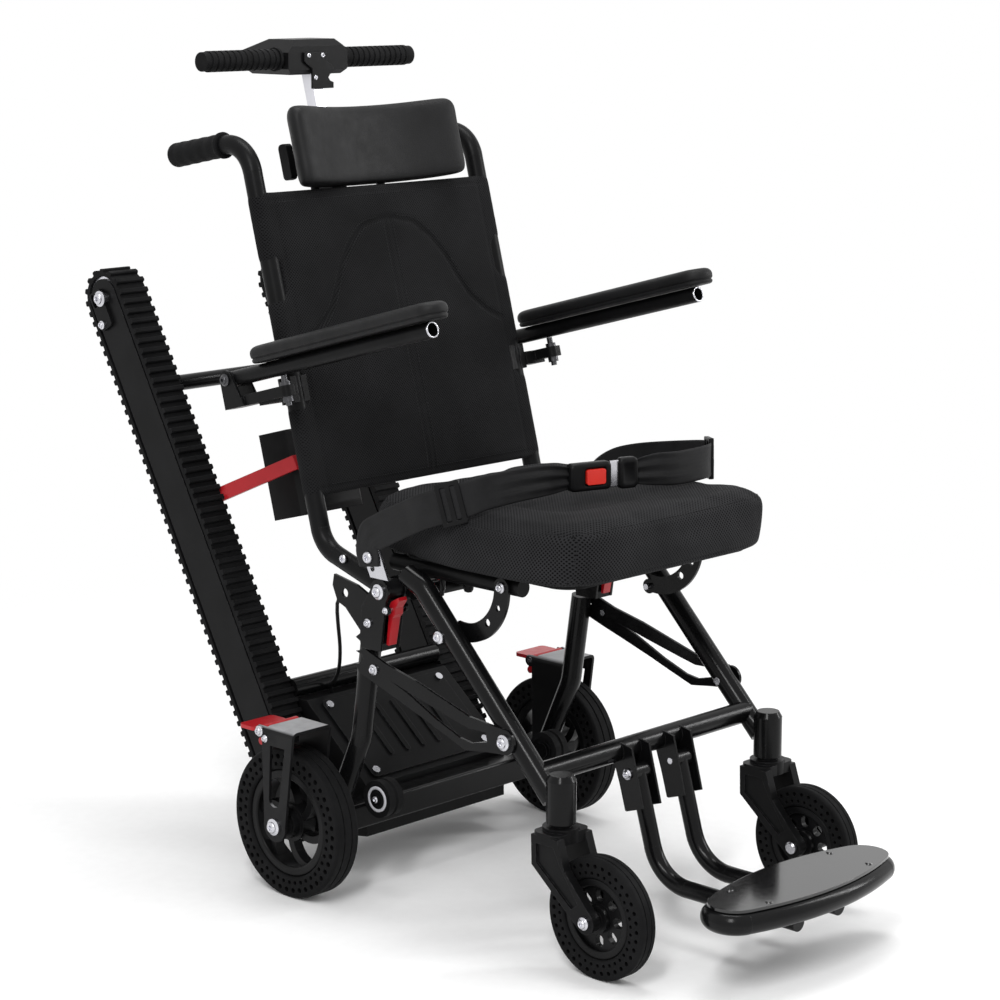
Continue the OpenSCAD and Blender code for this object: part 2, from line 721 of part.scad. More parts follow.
// Seat cushion as rings over the edge and in over the crown
function seat_w(y) = let (k = max(0, min(1, (-10 - y) / 70))) seat_rear_half_w +
    (seat_half_w - seat_rear_half_w) * k * k * (3 - 2 * k);
function seat_lift(y) = max(0, min(1, (-215 - y) / 95));
function seat_ring(inset, z, groove) =
    let (n = 56, d = seat_depth / 2 - inset, cy = seat_rear - seat_depth / 2)
    let (h = min(1, (z - seat_z) / seat_side_h))
    [for (i = [0 : n - 1]) let (a = i * 360 / n, c = cos(a), s = sin(a), e = 0.34,
        y = cy + d * sign(s) * pow(abs(s), e),
        x = (seat_w(y) - inset) * sign(c) * pow(abs(c), e),
        k = h * seat_lift(y))
        [x, y - 12 * k, z - groove * max(0, min(1, (40 - y) / 60)) + seat_rise * k]];
module seat_cushion() {
    h = seat_side_h;
    color(leather) place() skin([seat_ring(60, seat_z, 0), seat_ring(12, seat_z, 0), seat_ring(4,
        seat_z + 3, 0),
        seat_ring(1, seat_z + 12, 0), seat_ring(3, seat_z + h * 0.5, 0), seat_ring(0, seat_z +
            h * 0.75, 0),
        seat_ring(2, seat_z + h * 0.9, 0), seat_ring(8, seat_z + h * 0.98, 0), seat_ring(20, seat_z +
            h, 0),
        seat_ring(46, seat_z + h + 1, 0), seat_ring(54, seat_z + h + 1, 4), seat_ring(62, seat_z +
            h + 2, 0),
        seat_ring(90, seat_z + h + seat_crown * 0.7, 0), seat_ring(130, seat_z + h + seat_crown, 0)]);
}

// Tracks and drive

module track_outline(r) {
    translate([-r, 0]) square([2 * r, track_len]);
    circle(r);
    translate([0, track_len]) circle(r);
}

module track_beams() {
    color(black) place() pair() on_track() difference() {
        union() {
            yz(cheek_out - cheek_t, cheek_out) track_outline(cheek_r);
            yz(cheek_in, cheek_in + cheek_t) track_outline(cheek_r);
            box([cheek_in + 1, -cheek_r + 3, drum_r + 8], [cheek_out - 1, cheek_r - 3,
                track_len - drum_r - 8]);
        }
        for (s = [0, track_len]) xcyl(cheek_in - 1, cheek_out + 1, 0, s, track_axle_r + run_gap);
        for (i = [0 : 3]) translate([track_x, 0, 130 + i * 150]) rotate([90, 0, 0])
            linear_extrude(2 * cheek_r + 4, center = true) rrect(belt_w - 20, 100, 10);
    }
}

module lug(w) { polygon([[-0.6, -w / 2], [lug_h * 0.7, -w / 2], [lug_h, -w / 3], [lug_h, w / 3],
    [lug_h * 0.7, w / 2], [-0.6, w / 2]]); }

module track_belts() {
    p = track_len / lug_n;
    m = 7;
    color(rubber) place() pair() on_track() yz(track_x - belt_w / 2, track_x + belt_w / 2)
        difference() {
        union() {
            track_outline(belt_out);
            for (i = [0 : lug_n - 1]) {
                translate([belt_out, (i + 0.5) * p]) lug(p * 0.5);
                translate([-belt_out, (i + 0.5) * p]) mirror([1, 0]) lug(p * 0.5);
            }
            for (i = [0 : m - 1]) {
                translate([0, track_len]) rotate((i + 0.5) * 180 / m) translate([belt_out, 0])
                    lug(p * 0.5);
                rotate(180 + (i + 0.5) * 180 / m) translate([belt_out, 0]) lug(p * 0.5);
            }
        }
        track_outline(belt_in);
    }
}

module drum(x0, x1) {
    difference() {
        xcyl(x0, x1, 0, 0, drum_r);
        xcyl(x0 - 1, x0 + 8, 0, 0, drum_r - 6);
        xcyl(x1 - 8, x1 + 1, 0, 0, drum_r - 6);
    }
    xcyl(x0, x1, 0, 0, track_axle_r + 5);
}

module drive_axle() {
    color(silver) place() on_track() {
        xcyl(-cheek_out - 3, cheek_out + 3, 0, 0, track_axle_r);
        pair() drum(cheek_in + cheek_t + gap, cheek_out - cheek_t - gap);
        pair() xcyl(cheek_out + gap, cheek_out + 4, 0, 0, track_axle_r + 3);
    }
}

module idler(s) {
    color(grey) side(s) on_track() translate([0, 0, track_len]) difference() {
        drum(cheek_in + cheek_t + gap, cheek_out - cheek_t - gap);
        xcyl(cheek_in, cheek_out, 0, 0, track_axle_r + run_gap);
    }
}
module idler_right() { place() idler(-1); }
module idler_left() { place() idler(1); }

module track_tensioners() {
    color(black) place() pair() on_track() difference() {
        yz(cheek_out, cheek_out + 5) difference() {
            translate([10, track_len - 13]) rrect(26, 56, 5);
            translate([17, track_len + 3]) rrect(7, 20, 3.4);
        }
        xcyl(cheek_out - 1, cheek_out + 9, 0, track_len, track_axle_r + run_gap);
        xcyl(cheek_out - 1, cheek_out + 9, 16, track_len - 33, 3 + run_gap);
    }
}

module cross_tubes() {
    color(black) place() {
        on_track() xcyl(gap - cheek_in, cheek_in - gap, -16, 620, 11);
        xcyl(-cheek_in + 1.3, cheek_in - 1.3, 262, 231, 13);
        pair() on_track() yz(cheek_in - gap - 4, cheek_in - gap) translate([-16, 620]) circle(15);
    }
}

// Bent flat bar square to the tracks, with the battery box bolted behind its middle
module stay_bar() {
    e = cheek_in - gap;
    n = bar_n;
    color(red) place() on_track() translate([0, 0, bar_s]) linear_extrude(20)
        polygon([[-e, 14], [-e, -24], [-69.5, -n - 5], [69.5, -n - 5], [e, -24], [e, 14], [e - 5, 14],
                [e - 5, -22.5], [66.9, -n], [-66.9, -n], [5 - e, -22.5], [5 - e, 14]]);
}

module battery_pack() {
    w = battery_half_w;
    h = battery_h;
    t = 87;
    color(black) place() {
        translate([0, 396, 430.4]) rotate([-back_lean, 0, 0]) difference() {
            intersection() {
                linear_extrude(h) polygon([[-w, 12 - t], [12 - w, -t], [w - 12, -t], [w, 12 - t], [w, -18],
                    [w - 18, 0], [18 - w, 0], [-w, -18]]);
                yz(-w - 1, w + 1) polygon([[-t - 1, 10], [10 - t, 0], [-16, 0], [1, 15], [1, h - 21],
                    [-18, h + 0.5], [10 - t, h + 0.5], [-t - 1, h - 10]]);
            }
            for (k = [-2 : 2]) translate([k * 15, 0, h / 2]) rotate([90, 0, 0]) linear_extrude(5,
                center = true) rrect(6, 66, 2.9);
        }
        on_track() box([-40, 0.15 - bar_n, bar_s + 3], [40, -80, bar_s + 17]);
    }
}

house = [[118.3, 52], [118.3, 122], [236, house_top], [276, house_top], [294, 180], [262, 47], [150,
    47]];
module drive_housing() {
    color(black) place() difference() {
        union() {
            yz(-house_x, house_x) polygon(house);
            pair() on_track() {
                xcyl(house_x - 2, cheek_in - gap, 0, 0, 20);
                xcyl(house_x - 2, cheek_in - gap, 0, 118, 13);
            }
        }
        yz(4 - house_x, house_x - 4) polygon([[122.3, 54], [122.3, 120], [237.5, house_top - 4],
            [274, house_top - 4], [289.6, 180], [259, 51], [151, 51]]);
        translate([0, 118.3, 122]) rotate([39.1, 0, 0]) box([-90, 20, -8], [90, 132, 8]);
        on_track() xcyl(-cheek_in, cheek_in, 0, 0, track_axle_r + run_gap);
    }
}

module drive_cover() {
    color(black) place() translate([0, 118.3, 122]) rotate([39.1, 0, 0]) difference() {
        union() {
            translate([0, 76, gap]) linear_extrude(3) rrect(226, 136, 8);
            for (k = [-2 : 2]) translate([k * 30, 76, 3]) linear_extrude(2.5) rrect(8, 84, 3.9);
        }
        for (i = [-1, 1], j = [-1, 1]) translate([i * 104, 76 + j * 58, -1]) cylinder(r = 2.6, h = 9);
    }
}

module drive_unit() {
    color(grey) place() difference() {
        union() {
            box([-34, 178, 51.3], [34, 250, 128]);
            xcyl(-96, 96, 214, 152, 30);
            xcyl(-100, 100, 214, 152, 12);
            box([-34, 184, 120], [34, 244, 152]);
        }
        on_track() xcyl(-60, 60, 0, 0, track_axle_r + run_gap);
    }
}

module frame_fasteners() {
    color(silver) place() {
        pair() {
            xcyl(side_x - leg_r, link_x + link_t + 1, -219, 268, 5);
            head(link_x + link_t, -219, 268, 10, 5);
            xcyl(link_x, link_x + link_t + 1, 10, 318, 4);
            head(link_x + link_t, 10, 318, 7, 4);
            xcyl(rail_x + 5, side_x + leg_r + 1, -103, 379, 4);
            head(side_x + leg_r + 0.1, -103, 379, 8, 4);
            xcyl(rail_x + 4, side_x - leg_r - 1, -182, rail_z, 4);
            head(side_x - leg_r - gap, -182, rail_z, 7, 4);
            xcyl(post_in - post_t, post_out + post_t + 1, pivot[0], pivot[1], back_pin_d / 2);
            head(post_out + post_t, pivot[0], pivot[1], 10, 5);
            head(post_out + post_t, 18, 378, 6, 4);
            xcyl(post_in - post_t, post_out + post_t + 1, latch[0], latch[1], latch_pin_d / 2);
            head(post_out + post_t, latch[0], latch[1], 4.5, 3);
            xcyl(fork_in - fork_t + 0.5, fork_out + fork_t + 1, rear_axle_y, rear_z, rear_axle_d / 2);
            head(fork_out + fork_t, rear_axle_y, rear_z, 11, 5);
            xcyl(fork_in - fork_t, fork_out + fork_t + 1, pedal_y, pedal_z, pedal_pin_d / 2);
            head(fork_out + fork_t, pedal_y, pedal_z, 7, 4);
            head(fork_out + fork_t, rear_axle_y + 14, fork_top - 16, 5, 4);
            xcyl(foot_x - foot_arm_d / 2 - 7, foot_x + foot_arm_d / 2 + 8, foot_hinge[0],
                foot_hinge[1], foot_pin_d / 2);
            head(foot_x + foot_arm_d / 2 + 7, foot_hinge[0], foot_hinge[1], 7, 4);
            on_track() {
                xcyl(cheek_in - 1, cheek_out + 7, 0, track_len, track_axle_r);
                head(cheek_out + 5, 0, track_len, track_axle_r + 3, 5);
                xcyl(cheek_out, cheek_out + 6, 16, track_len - 33, 3);
                head(cheek_out + 5, 16, track_len - 33, 6, 4);
            }
        }
        translate([0, 118.3, 122]) rotate([39.1, 0, 0]) for (i = [-1, 1], j = [-1, 1])
            translate([i * 104, 76 + j * 58, gap]) {
            cylinder(r = 2.5, h = 4);
            translate([0, 0, 3]) cylinder(r = 5.5, h = 3);
        }
    }
}

// Back, armrests and headrest

grip_end = [back_x, 399, 948];
function back_at(t) = [back_x, back_base[0] + t * sin(back_lean), back_base[1] + t * cos(back_lean)];
module back_frame() {
    color(black) place() difference() {
        union() {
            pair() {
                pipe([grip_end, back_at(470), back_at(-62.5), [back_x, pivot[0], pivot[1]]], 45, back_r);
                xcyl(back_x - back_r, back_x + back_r, pivot[0], pivot[1], back_r + 0.5);
            }
            on_back() {
                for (t = [285, bar_t]) {
                    xcyl(3 - back_x, back_x - 3, -back_bar_d / 2 - 2 * gap, t, back_bar_d / 2);
                    box([-10, post_n + sleeve_w / 2 - 1, t - 8], [10, -1, t + 8]);
                }
                for (x = [-60, 60]) box([x - 10, rod_f - 12, 384], [x + 10, -2, 400]);
                box([-sleeve_w / 2, post_n - sleeve_w / 2, 150], [sleeve_w / 2, post_n +
                    sleeve_w / 2, 480]);
            }
        }
        pair() xcyl(back_x - 30, back_x + 30, pivot[0], pivot[1], back_pin_d / 2 + run_gap);
        on_back() {
            box([-post_w / 2 - gap, post_n - post_w / 2 - gap, 140], [post_w / 2 + gap, post_n +
                post_w / 2 + gap, 490]);
            for (x = [-60, 60]) translate([x, rod_f, 370]) cylinder(r = 6 + run_gap, h = 50);
        }
    }
}

// Back panel: a padded sling between two sleeves that the back tubes pass through
module panel_section() {
    sleeve_r = back_r + gap + cloth_t;
    difference() {
        union() {
            translate([-back_x, -gap]) square([2 * back_x, sleeve_r - 0.5 + gap]);
            for (k = [-1, 1]) translate([k * back_x, 0]) circle(sleeve_r);
            intersection() {
                translate([0, sleeve_r + panel_crown - 900]) circle(900, $fn = 256);
                translate([-back_x, sleeve_r - 6]) square([2 * back_x, 60]);
            }
        }
        for (k = [-1, 1]) translate([k * back_x, 0]) circle(back_r + gap);
    }
}
module back_panel() {
    color(leather) place() on_back() difference() {
        linear_extrude(panel_h) panel_section();
        pair() box([back_x - 22, -40, 124], [back_x + 40, back_r + 0.2, 162]);
        pair() box([back_x - 18, -40, 264], [back_x + 40, 40, 306]);
        pair() box([back_x - 24, -40, bar_t - back_bar_d / 2 - gap], [back_x, 0, panel_h + 1]);
    }
}

module push_grips() {
    d = unit(grip_end - back_at(470));
    a = back_at(470) + d * 44;
    e = grip_end;
    color(rubber) place() pair() difference() {
        union() {
            rod(a, e + d * 5, push_grip_d / 2 - 1.5);
            for (i = [0 : 6]) rod(a + d * (6 + i * 15), a + d * (15 + i * 15), push_grip_d / 2);
            rod(a, a + d * 5, push_grip_d / 2 + 3);
        }
        rod(a - d * 5, e + d * gap, back_r + gap);
    }
}

arm_in = arm_d / 2 + 0.8;
module arm_brackets() {
    color(black) place() pair() on_back() difference() {
        union() {
            translate([back_x, 0, 126]) cylinder(r = back_r + 6, h = 34);
            box([back_x + back_r + 2, -14, 130], [arm_x + 6, 14, 148]);
            translate([arm_x, -14, 134]) linear_extrude(14) rrect(22, 122, 8);
            for (k = [-1, 1]) translate([k * (arm_in + 2), 0, 0]) yz(arm_x - 2, arm_x + 2) {
                polygon([[arm_back - 12, arm_t], [arm_back + 12, arm_t], [arm_back + 26, 134],
                    [arm_back - 12, 134]]);
                translate([arm_back, arm_t]) circle(12);
            }
            box([arm_x - arm_in - 3, arm_back - 12, 134], [arm_x + arm_in + 3, arm_back + 24, 146]);
        }
        translate([back_x, 0, 100]) cylinder(r = back_r + gap, h = 90);
        box([back_x - 40, 12.4, 100], [back_x + back_r + 1.5, 60, 200]);
        xcyl(arm_x - 30, arm_x + 30, arm_back, arm_t, arm_pin_d / 2 + run_gap);
        translate([arm_x, 36, 120]) cylinder(r = 4 + run_gap, h = 60);
    }
}

module back_fasteners() {
    color(silver) place() pair() on_back() {
        xcyl(arm_x - arm_in - 4, arm_x + arm_in + 5, arm_back, arm_t, arm_pin_d / 2);
        head(arm_x + arm_in + 4, arm_back, arm_t, 8, 4);
        translate([arm_x, 36, 122]) cylinder(r = 4, h = arm_t - arm_d / 2 - gap - 122);
        translate([arm_x, 36, 127]) cylinder(r = 7, h = 7);
        translate([arm_x, 36, 148]) cylinder(r = 7, h = 5);
    }
}

module arm_tube(s) {
    color(black) side(s) on_back() difference() {
        union() {
            translate([arm_x, arm_back, arm_t]) rotate([-90, 0, 0]) cylinder(d = arm_d, h =
                arm_front - arm_back);
            xcyl(arm_x - arm_d / 2, arm_x + arm_d / 2, arm_back, arm_t, arm_d / 2);
        }
        translate([arm_x, arm_back + 30, arm_t]) rotate([-90, 0, 0]) cylinder(d = arm_bore, h = 400);
        xcyl(arm_x - 30, arm_x + 30, arm_back, arm_t, arm_pin_d / 2 + run_gap);
    }
}
module arm_tube_right() { place() arm_tube(-1); }
module arm_tube_left() { place() arm_tube(1); }

// Armrest pad as rings from its flat foot to its crowned top
function pad_ring(inset, t) = let (n = 20, r = arm_pad_w / 2 - inset, l = arm_pad_l / 2 - arm_pad_w / 2)
    [for (i = [0 : 2 * n - 1]) let (a = (i + 0.5) * 180 / n) [r * cos(a), (sin(a) > 0 ? l : -l) +
        r * sin(a), t]];
module arm_pad(s) {
    t0 = arm_t + arm_d / 2 + gap;
    h = arm_pad_t;
    color(leather) side(s) on_back() translate([arm_x, 163, t0]) mirror([1, 0, 0]) skin([pad_ring(3,
        0), pad_ring(0.8, 2), pad_ring(0, h * 0.3),
        pad_ring(0.6, h * 0.55), pad_ring(0.2, h * 0.72), pad_ring(2.4, h * 0.88), pad_ring(6,
            h * 0.96), pad_ring(12, h)]);
}
module arm_pad_right() { place() arm_pad(-1); }
module arm_pad_left() { place() arm_pad(1); }

// Headrest as rings from wing to wing, each a rounded upright section
head_f = -21;
rod_f = head_f - 24;
function wing(x) = 44 * pow(abs(x) / headrest_half_w, 2.2);
function head_ring(x, t0) = let (m = 28, e = 0.42, u = abs(x) / headrest_half_w,
    a = headrest_t / 2 * max(0.3, sqrt(1 - pow(u, 8))),
    b = headrest_h / 2 * (1 - 0.16 * pow(u, 10)))
    [for (i = [0 : m - 1]) let (c = cos(i * 360 / m), s = sin(i * 360 / m))
        [x, head_f + headrest_t / 2 + wing(x) + a * sign(c) * pow(abs(c), e),
            t0 + headrest_h / 2 + b * sign(s) * pow(abs(s), e)]];
module headrest_pad() {
    n = 11;
    color(leather) place() on_back()
        skin([for (i = [-n : n]) head_ring(headrest_half_w * sin(90 * i / n), panel_h + 2)]);
}

module headrest_bracket() {
    color(black) place() on_back() {
        translate([0, head_f - gap, 458]) rotate([90, 0, 0]) linear_extrude(4) rrect(150, 64, 8);
        for (x = [-60, 60]) {
            translate([x, rod_f, 300]) cylinder(r = 6, h = 180);
            box([x - 9, rod_f - 8, 440], [x + 9, head_f - gap - 3, 476]);
        }
        pair() {
            xcyl(66, 108, head_f - 13, 448, 6);
            yz(104, 115) translate([head_f - 13, 444]) rrect(16, 48, 6);
        }
    }
}

// Push handle

module handle_post() {
    color(silver) place() {
        on_back() box([-post_w / 2, post_n - post_w / 2, 190], [post_w / 2, post_n + post_w / 2, 588]);
        xcyl(-handle_half + 4, handle_half - 4, 361, 1071, 9);
    }
}

module control_box() {
    color(black) place() difference() {
        intersection() {
            yz(-54, 54) polygon([[341, 1056], [341, 1088], [350, 1097], [398, 1097], [436, 1082],
                [436, 1062], [424, 1050], [347, 1050]]);
            translate([0, 500, 0]) rotate([90, 0, 0]) linear_extrude(200)
                polygon([[-54, 1058], [-54, 1080], [-38, 1097], [38, 1097], [54, 1080], [54, 1058],
                    [46, 1050], [-46, 1050]]);
        }
        xcyl(-100, 100, 361, 1071, 9 + gap);
        on_back() box([-post_w / 2 - gap, post_n - post_w / 2 - gap, 500], [post_w / 2 + gap,
            post_n + post_w / 2 + gap, 588 + gap]);
        translate([0, 420, 1090]) rotate([-21.5, 0, 0]) linear_extrude(8, center = true) rrect(50,
            16, 5);
    }
}

module handle_grips() {
    color(rubber) place() pair() difference() {
        union() {
            xcyl(60, handle_half, 361, 1071, handle_grip_d / 2 - 1.2);
            for (i = [0 : 11]) xcyl(63 + i * 10, 69 + i * 10, 361, 1071, handle_grip_d / 2);
            xcyl(58, 62, 361, 1071, handle_grip_d / 2 + 2);
        }
        xcyl(50, handle_half - 4 + gap, 361, 1071, 9 + gap);
    }
}

// Lap belt and cable

function strap_ring(p, d, w, t) = let (h = cross(d, [0, 0, 1]), n = norm(h) < 0.2 ? [1, 0,
    0] : unit(h), u = unit(cross(n, d)))
    [p + u * w / 2 + n * t / 2, p - u * w / 2 + n * t / 2, p - u * w / 2 - n * t / 2, p +
        u * w / 2 - n * t / 2];
function side_ring(p, d, w, t, s) = let (n = [s, 0, 0], u = unit(cross(n, d)))
    [p + u * w / 2 + n * t / 2, p - u * w / 2 + n * t / 2, p - u * w / 2 - n * t / 2,
        p + u * w / 2 - n * t / 2];
strap_t = 2.4;
strap_x = post_out + post_t + gap + strap_t / 2;
buckle = [-14, -170, 564];
buckle_turn = -17;
module on_buckle() { translate(buckle) rotate(buckle_turn) children(); }

module lap_belt() {
    d = [cos(buckle_turn), sin(buckle_turn), 0];
    a = buckle - d * (buckle_l / 2 + gap);
    b = buckle + d * (buckle_l / 2 + 2 * gap + tongue_l);
    color([0.2, 0.2, 0.21]) place() {
        skin([
            side_ring([-strap_x, 14, 452], [0, 0.15, 1], strap_w - 8, strap_t, -1),
            side_ring([-strap_x, 18, 474], [0, 0.1, 1], strap_w - 4, strap_t, -1),
            side_ring([-strap_x, 12, 490], [0, -0.6, 0.7], strap_w, strap_t, -1),
            side_ring([-strap_x, -8, 502], [0, -1, 0.45], strap_w, strap_t, -1),
            side_ring([-strap_x, -50, 522], [0, -1, 0.4], strap_w, strap_t, -1),
            strap_ring([-strap_x + 2, -84, 537], [0.3, -1, 0.3], strap_w, strap_t),
            strap_ring([-strap_x + 26, -128, 553], [0.55, -0.9, 0.25], strap_w, strap_t),
            strap_ring([-170, -146, 562], [1, -0.25, 0.05], strap_w, strap_t),
            strap_ring([-120, -148, 564], [1, -0.1, 0], strap_w, strap_t),
            strap_ring(a - d * 30, d, strap_w * 0.9, strap_t),
            strap_ring(a, d, strap_w * 0.65, strap_t)]);
        skin([
            strap_ring(b, d, strap_w * 0.75, strap_t),
            strap_ring(b + d * 30, d, strap_w, strap_t),
            strap_ring([120, -207, 562], [1, -0.02, 0], strap_w, strap_t),
            strap_ring([180, -203, 562], [1, 0.25, 0], strap_w, strap_t),
            strap_ring([strap_x - 10, -178, 560], [0.4, 1, -0.05], strap_w, strap_t),
            side_ring([strap_x, -140, 555], [0, 1, -0.12], strap_w, strap_t, 1),
            side_ring([strap_x, -50, 540], [0, 1, -0.22], strap_w, strap_t, 1),
            side_ring([strap_x, 0, 524], [0, 1, -0.35], strap_w, strap_t, 1),
            side_ring([strap_x, 22, 506], [0, 0.5, -0.8], strap_w, strap_t, 1),
            side_ring([strap_x, 22, 484], [0, -0.2, -1], strap_w - 4, strap_t, 1),
            side_ring([strap_x, 14, 452], [0, -0.15, -1], strap_w - 8, strap_t, 1)]);
    }
}

module belt_buckle() {
    color(black) place() on_buckle() difference() {
        translate([0, 8, 0]) rotate([90, 0, 0]) linear_extrude(16) rrect(buckle_l, buckle_h, 6);
        translate([6, -5, 0]) cube([28, 10, 20], center = true);
    }
}

module buckle_button() {
    color(red) place() on_buckle() translate([6, -4.2, 0]) rotate([90, 0, 0]) linear_extrude(5.8)
        rrect(28 - 2 * gap, 20 - 2 * gap, 3);
}

module belt_hardware() {
    color(silver) place() {
        on_buckle() translate([buckle_l / 2 + gap, -2, 0]) rotate([90, 0, 90])
            linear_extrude(tongue_l) translate([2, 0]) rrect(4, buckle_h - 2, 1.5);
        pair() difference() {
            yz(post_out, post_out + post_t) {
                polygon([[-18, pivot[1] + 16 + gap], [14, pivot[1] + 16 + gap], [32, 474], [0, 478]]);
                translate([16, 468]) circle(16);
            }
            xcyl(post_out - 1, post_out + 9, 10, 450, 4);
        }
    }
}

function cable_ring(p, d) = let (n = unit(cross(d, [0.3, 0.2, 1])), u = unit(cross(n, d)))
    [for (i = [0 : 7]) p + 2.5 * (n * cos(i * 45) + u * sin(i * 45))];
module power_cable() {
    p = [[-198.2, 92, 402], [-198, 100, 386], [-190, 108, 360], [-172, 124, 320], [-150, 150, 284],
        [-124, 186, 256], [-98, 222, 238], [-84, 240, 228], [-80, 243, 218]];
    n = len(p);
    color(black) place() skin([for (i = [0 : n - 1]) cable_ring(p[i], unit(p[min(n - 1, i +
        1)] - p[max(0, i - 1)]))]);
}

// Footrest

module oval_arc(c, R, a0, a1, r) {
    translate([c[0], foot_y + c[1], foot_z]) rotate(a0) rotate_extrude(angle = a1 - a0) translate([R,
        0]) circle(r);
}

module footrest_frame() {
    r = foot_loop_d / 2;
    ra = foot_arm_d / 2;
    za = foot_z - r - ra + 2;
    t = foot_turn;
    color(black) place() difference() {
        union() {
            pair() {
                pipe([[foot_x, foot_hinge[0], foot_hinge[1]], [foot_x, -318, za], [foot_x,
                    foot_y - 30, za]], 60, ra);
                xcyl(foot_x - ra - 2, foot_x + ra + 2, foot_hinge[0], foot_hinge[1], ra);
                oval_arc([foot_half_w - foot_end_r, 0], foot_end_r, t - 90, 90 - t, r + bend_swell);
            }
            oval_arc([0, foot_big_r - foot_half_d], foot_big_r, -90 - t - 0.3, -90 + t + 0.3, r);
            oval_arc([0, foot_half_d - foot_big_r], foot_big_r, 90 - t - 0.3, 90 + t + 0.3, r);
        }
        pair() xcyl(foot_x - 30, foot_x + 30, foot_hinge[0], foot_hinge[1], foot_pin_d / 2 + run_gap);
    }
}

module plate_outline(e) {
    intersection() {
        translate([0, foot_big_r - foot_half_d]) circle(foot_big_r + e, $fn = 128);
        translate([0, foot_half_d - foot_big_r]) circle(foot_big_r + e, $fn = 128);
        square([2 * (foot_big_r + e) * sin(foot_turn), 400], center = true);
    }
    for (k = [-1, 1]) translate([k * (foot_half_w - foot_end_r), 0]) circle(foot_end_r + e);
}

module footplate() {
    z = foot_z + foot_loop_d / 2 + bend_swell + gap;
    color(black) place() translate([0, foot_y, z]) {
        linear_extrude(plate_t) plate_outline(6);
        for (i = [-1, 1], j = [-1, 1]) translate([i * 98, j * 30, plate_t - 0.5]) cylinder(r1 = 5,
            r2 = 3.5, h = 2);
    }
}

base_frame();
drive_housing();
drive_cover();
drive_unit();
track_beams();
track_belts();
track_tensioners();
cross_tubes();
stay_bar();
battery_pack();
side_links();
pivot_posts();
front_frame();
seat_frame();
quadrant_plates();
seat_cushion();
rear_forks();
frame_fasteners();
lap_belt();
belt_buckle();
belt_hardware();
power_cable();
guide_roller_right();
guide_roller_left();
drive_axle();
idler_right();
idler_left();
rear_hub_right();
rear_hub_left();
rear_tyre_right();
rear_tyre_left();
brake_pedal_right();
brake_pedal_left();
caster_fork_right();
caster_fork_left();
caster_pins_right();
caster_pins_left();
caster_hub_right();
caster_hub_left();
caster_tyre_right();
caster_tyre_left();
back_frame();
back_panel();
push_grips();
arm_brackets();
back_fasteners();
arm_tube_right();
arm_tube_left();
arm_pad_right();
arm_pad_left();
headrest_pad();
headrest_bracket();
handle_post();
control_box();
handle_grips();
footrest_frame();
footplate();
latch_lever_right();
latch_lever_left();
buckle_button();
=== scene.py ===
import math

import bmesh
import bpy
import numpy as np
from mathutils import Matrix, Vector
from mathutils.bvhtree import BVHTree


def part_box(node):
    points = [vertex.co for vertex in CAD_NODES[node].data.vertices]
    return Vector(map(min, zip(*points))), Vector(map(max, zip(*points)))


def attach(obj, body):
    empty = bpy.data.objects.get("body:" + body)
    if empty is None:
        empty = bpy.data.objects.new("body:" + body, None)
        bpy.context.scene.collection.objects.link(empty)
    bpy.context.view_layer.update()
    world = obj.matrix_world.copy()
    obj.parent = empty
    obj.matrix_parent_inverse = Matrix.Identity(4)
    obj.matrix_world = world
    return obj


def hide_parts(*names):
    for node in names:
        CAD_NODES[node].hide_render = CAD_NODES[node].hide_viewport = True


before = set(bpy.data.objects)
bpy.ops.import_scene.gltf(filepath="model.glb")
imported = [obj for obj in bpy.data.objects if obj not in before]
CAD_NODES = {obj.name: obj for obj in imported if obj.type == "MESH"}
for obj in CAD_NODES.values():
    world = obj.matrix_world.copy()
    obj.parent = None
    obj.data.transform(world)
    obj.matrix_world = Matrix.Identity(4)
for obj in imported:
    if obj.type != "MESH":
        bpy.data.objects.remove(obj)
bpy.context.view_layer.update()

SIDES = ((-1, "right"), (1, "left"))  # sign of x and name of each side
MM = 1000  # millimetres in a metre
MID = 31.27978200417624  # shift from the measuring frame to the part's frame, mm
LEAN = math.radians(15)  # how far the back leans
LEAN_SIN = math.sin(LEAN)
LEAN_COS = math.cos(LEAN)
BACK_Y, BACK_Z = 135, 520  # start of the straight run of the back tubes, mm
TUBE_X = 203  # of the back tubes
ARM_X = 247  # of the armrest tubes


def point(x, y, z):
    """A point of the measuring frame, in mm, as metres of the part's frame."""
    return Vector((x, y - MID, z)) / MM


def back_point(x, f, t):
    """A point of the back: across, forward of the tubes, up along them, in mm."""
    return point(x, BACK_Y - LEAN_COS * f + LEAN_SIN * t, BACK_Z + LEAN_SIN * f + LEAN_COS * t)


# Camera

AZIMUTH = math.radians(-46.01)
ELEVATION = math.radians(11.12)
EYE = (-2.5558, -2.4684 - MID / MM, 1.2066)
LENS, SENSOR = 99.54, 36  # mm

scene = bpy.context.scene
scene.view_settings.view_transform = "Standard"
right = Vector((math.cos(AZIMUTH), math.sin(AZIMUTH), 0))
back = Vector((math.sin(AZIMUTH) * math.cos(ELEVATION), -math.cos(AZIMUTH) * math.cos(ELEVATION),
               math.sin(ELEVATION)))
up = back.cross(right)
cam = bpy.data.objects.new("camera", bpy.data.cameras.new("camera"))
scene.collection.objects.link(cam)
cam.matrix_world = Matrix((*((right[i], up[i], back[i], EYE[i]) for i in range(3)), (0, 0, 0, 1)))
cam.data.lens = LENS
cam.data.sensor_width = cam.data.sensor_height = SENSOR
cam.data.sensor_fit = "AUTO"
scene.camera = cam

# Shader helpers: nt is a node tree, b its shader

LOOK = {}


def new_node(nt, kind, **values):
    node = nt.nodes.new(kind)
    for key, value in values.items():
        setattr(node, key, value)
    return node


def set_inputs(node, values):
    for key, value in values.items():
        node.inputs[key].default_value = value


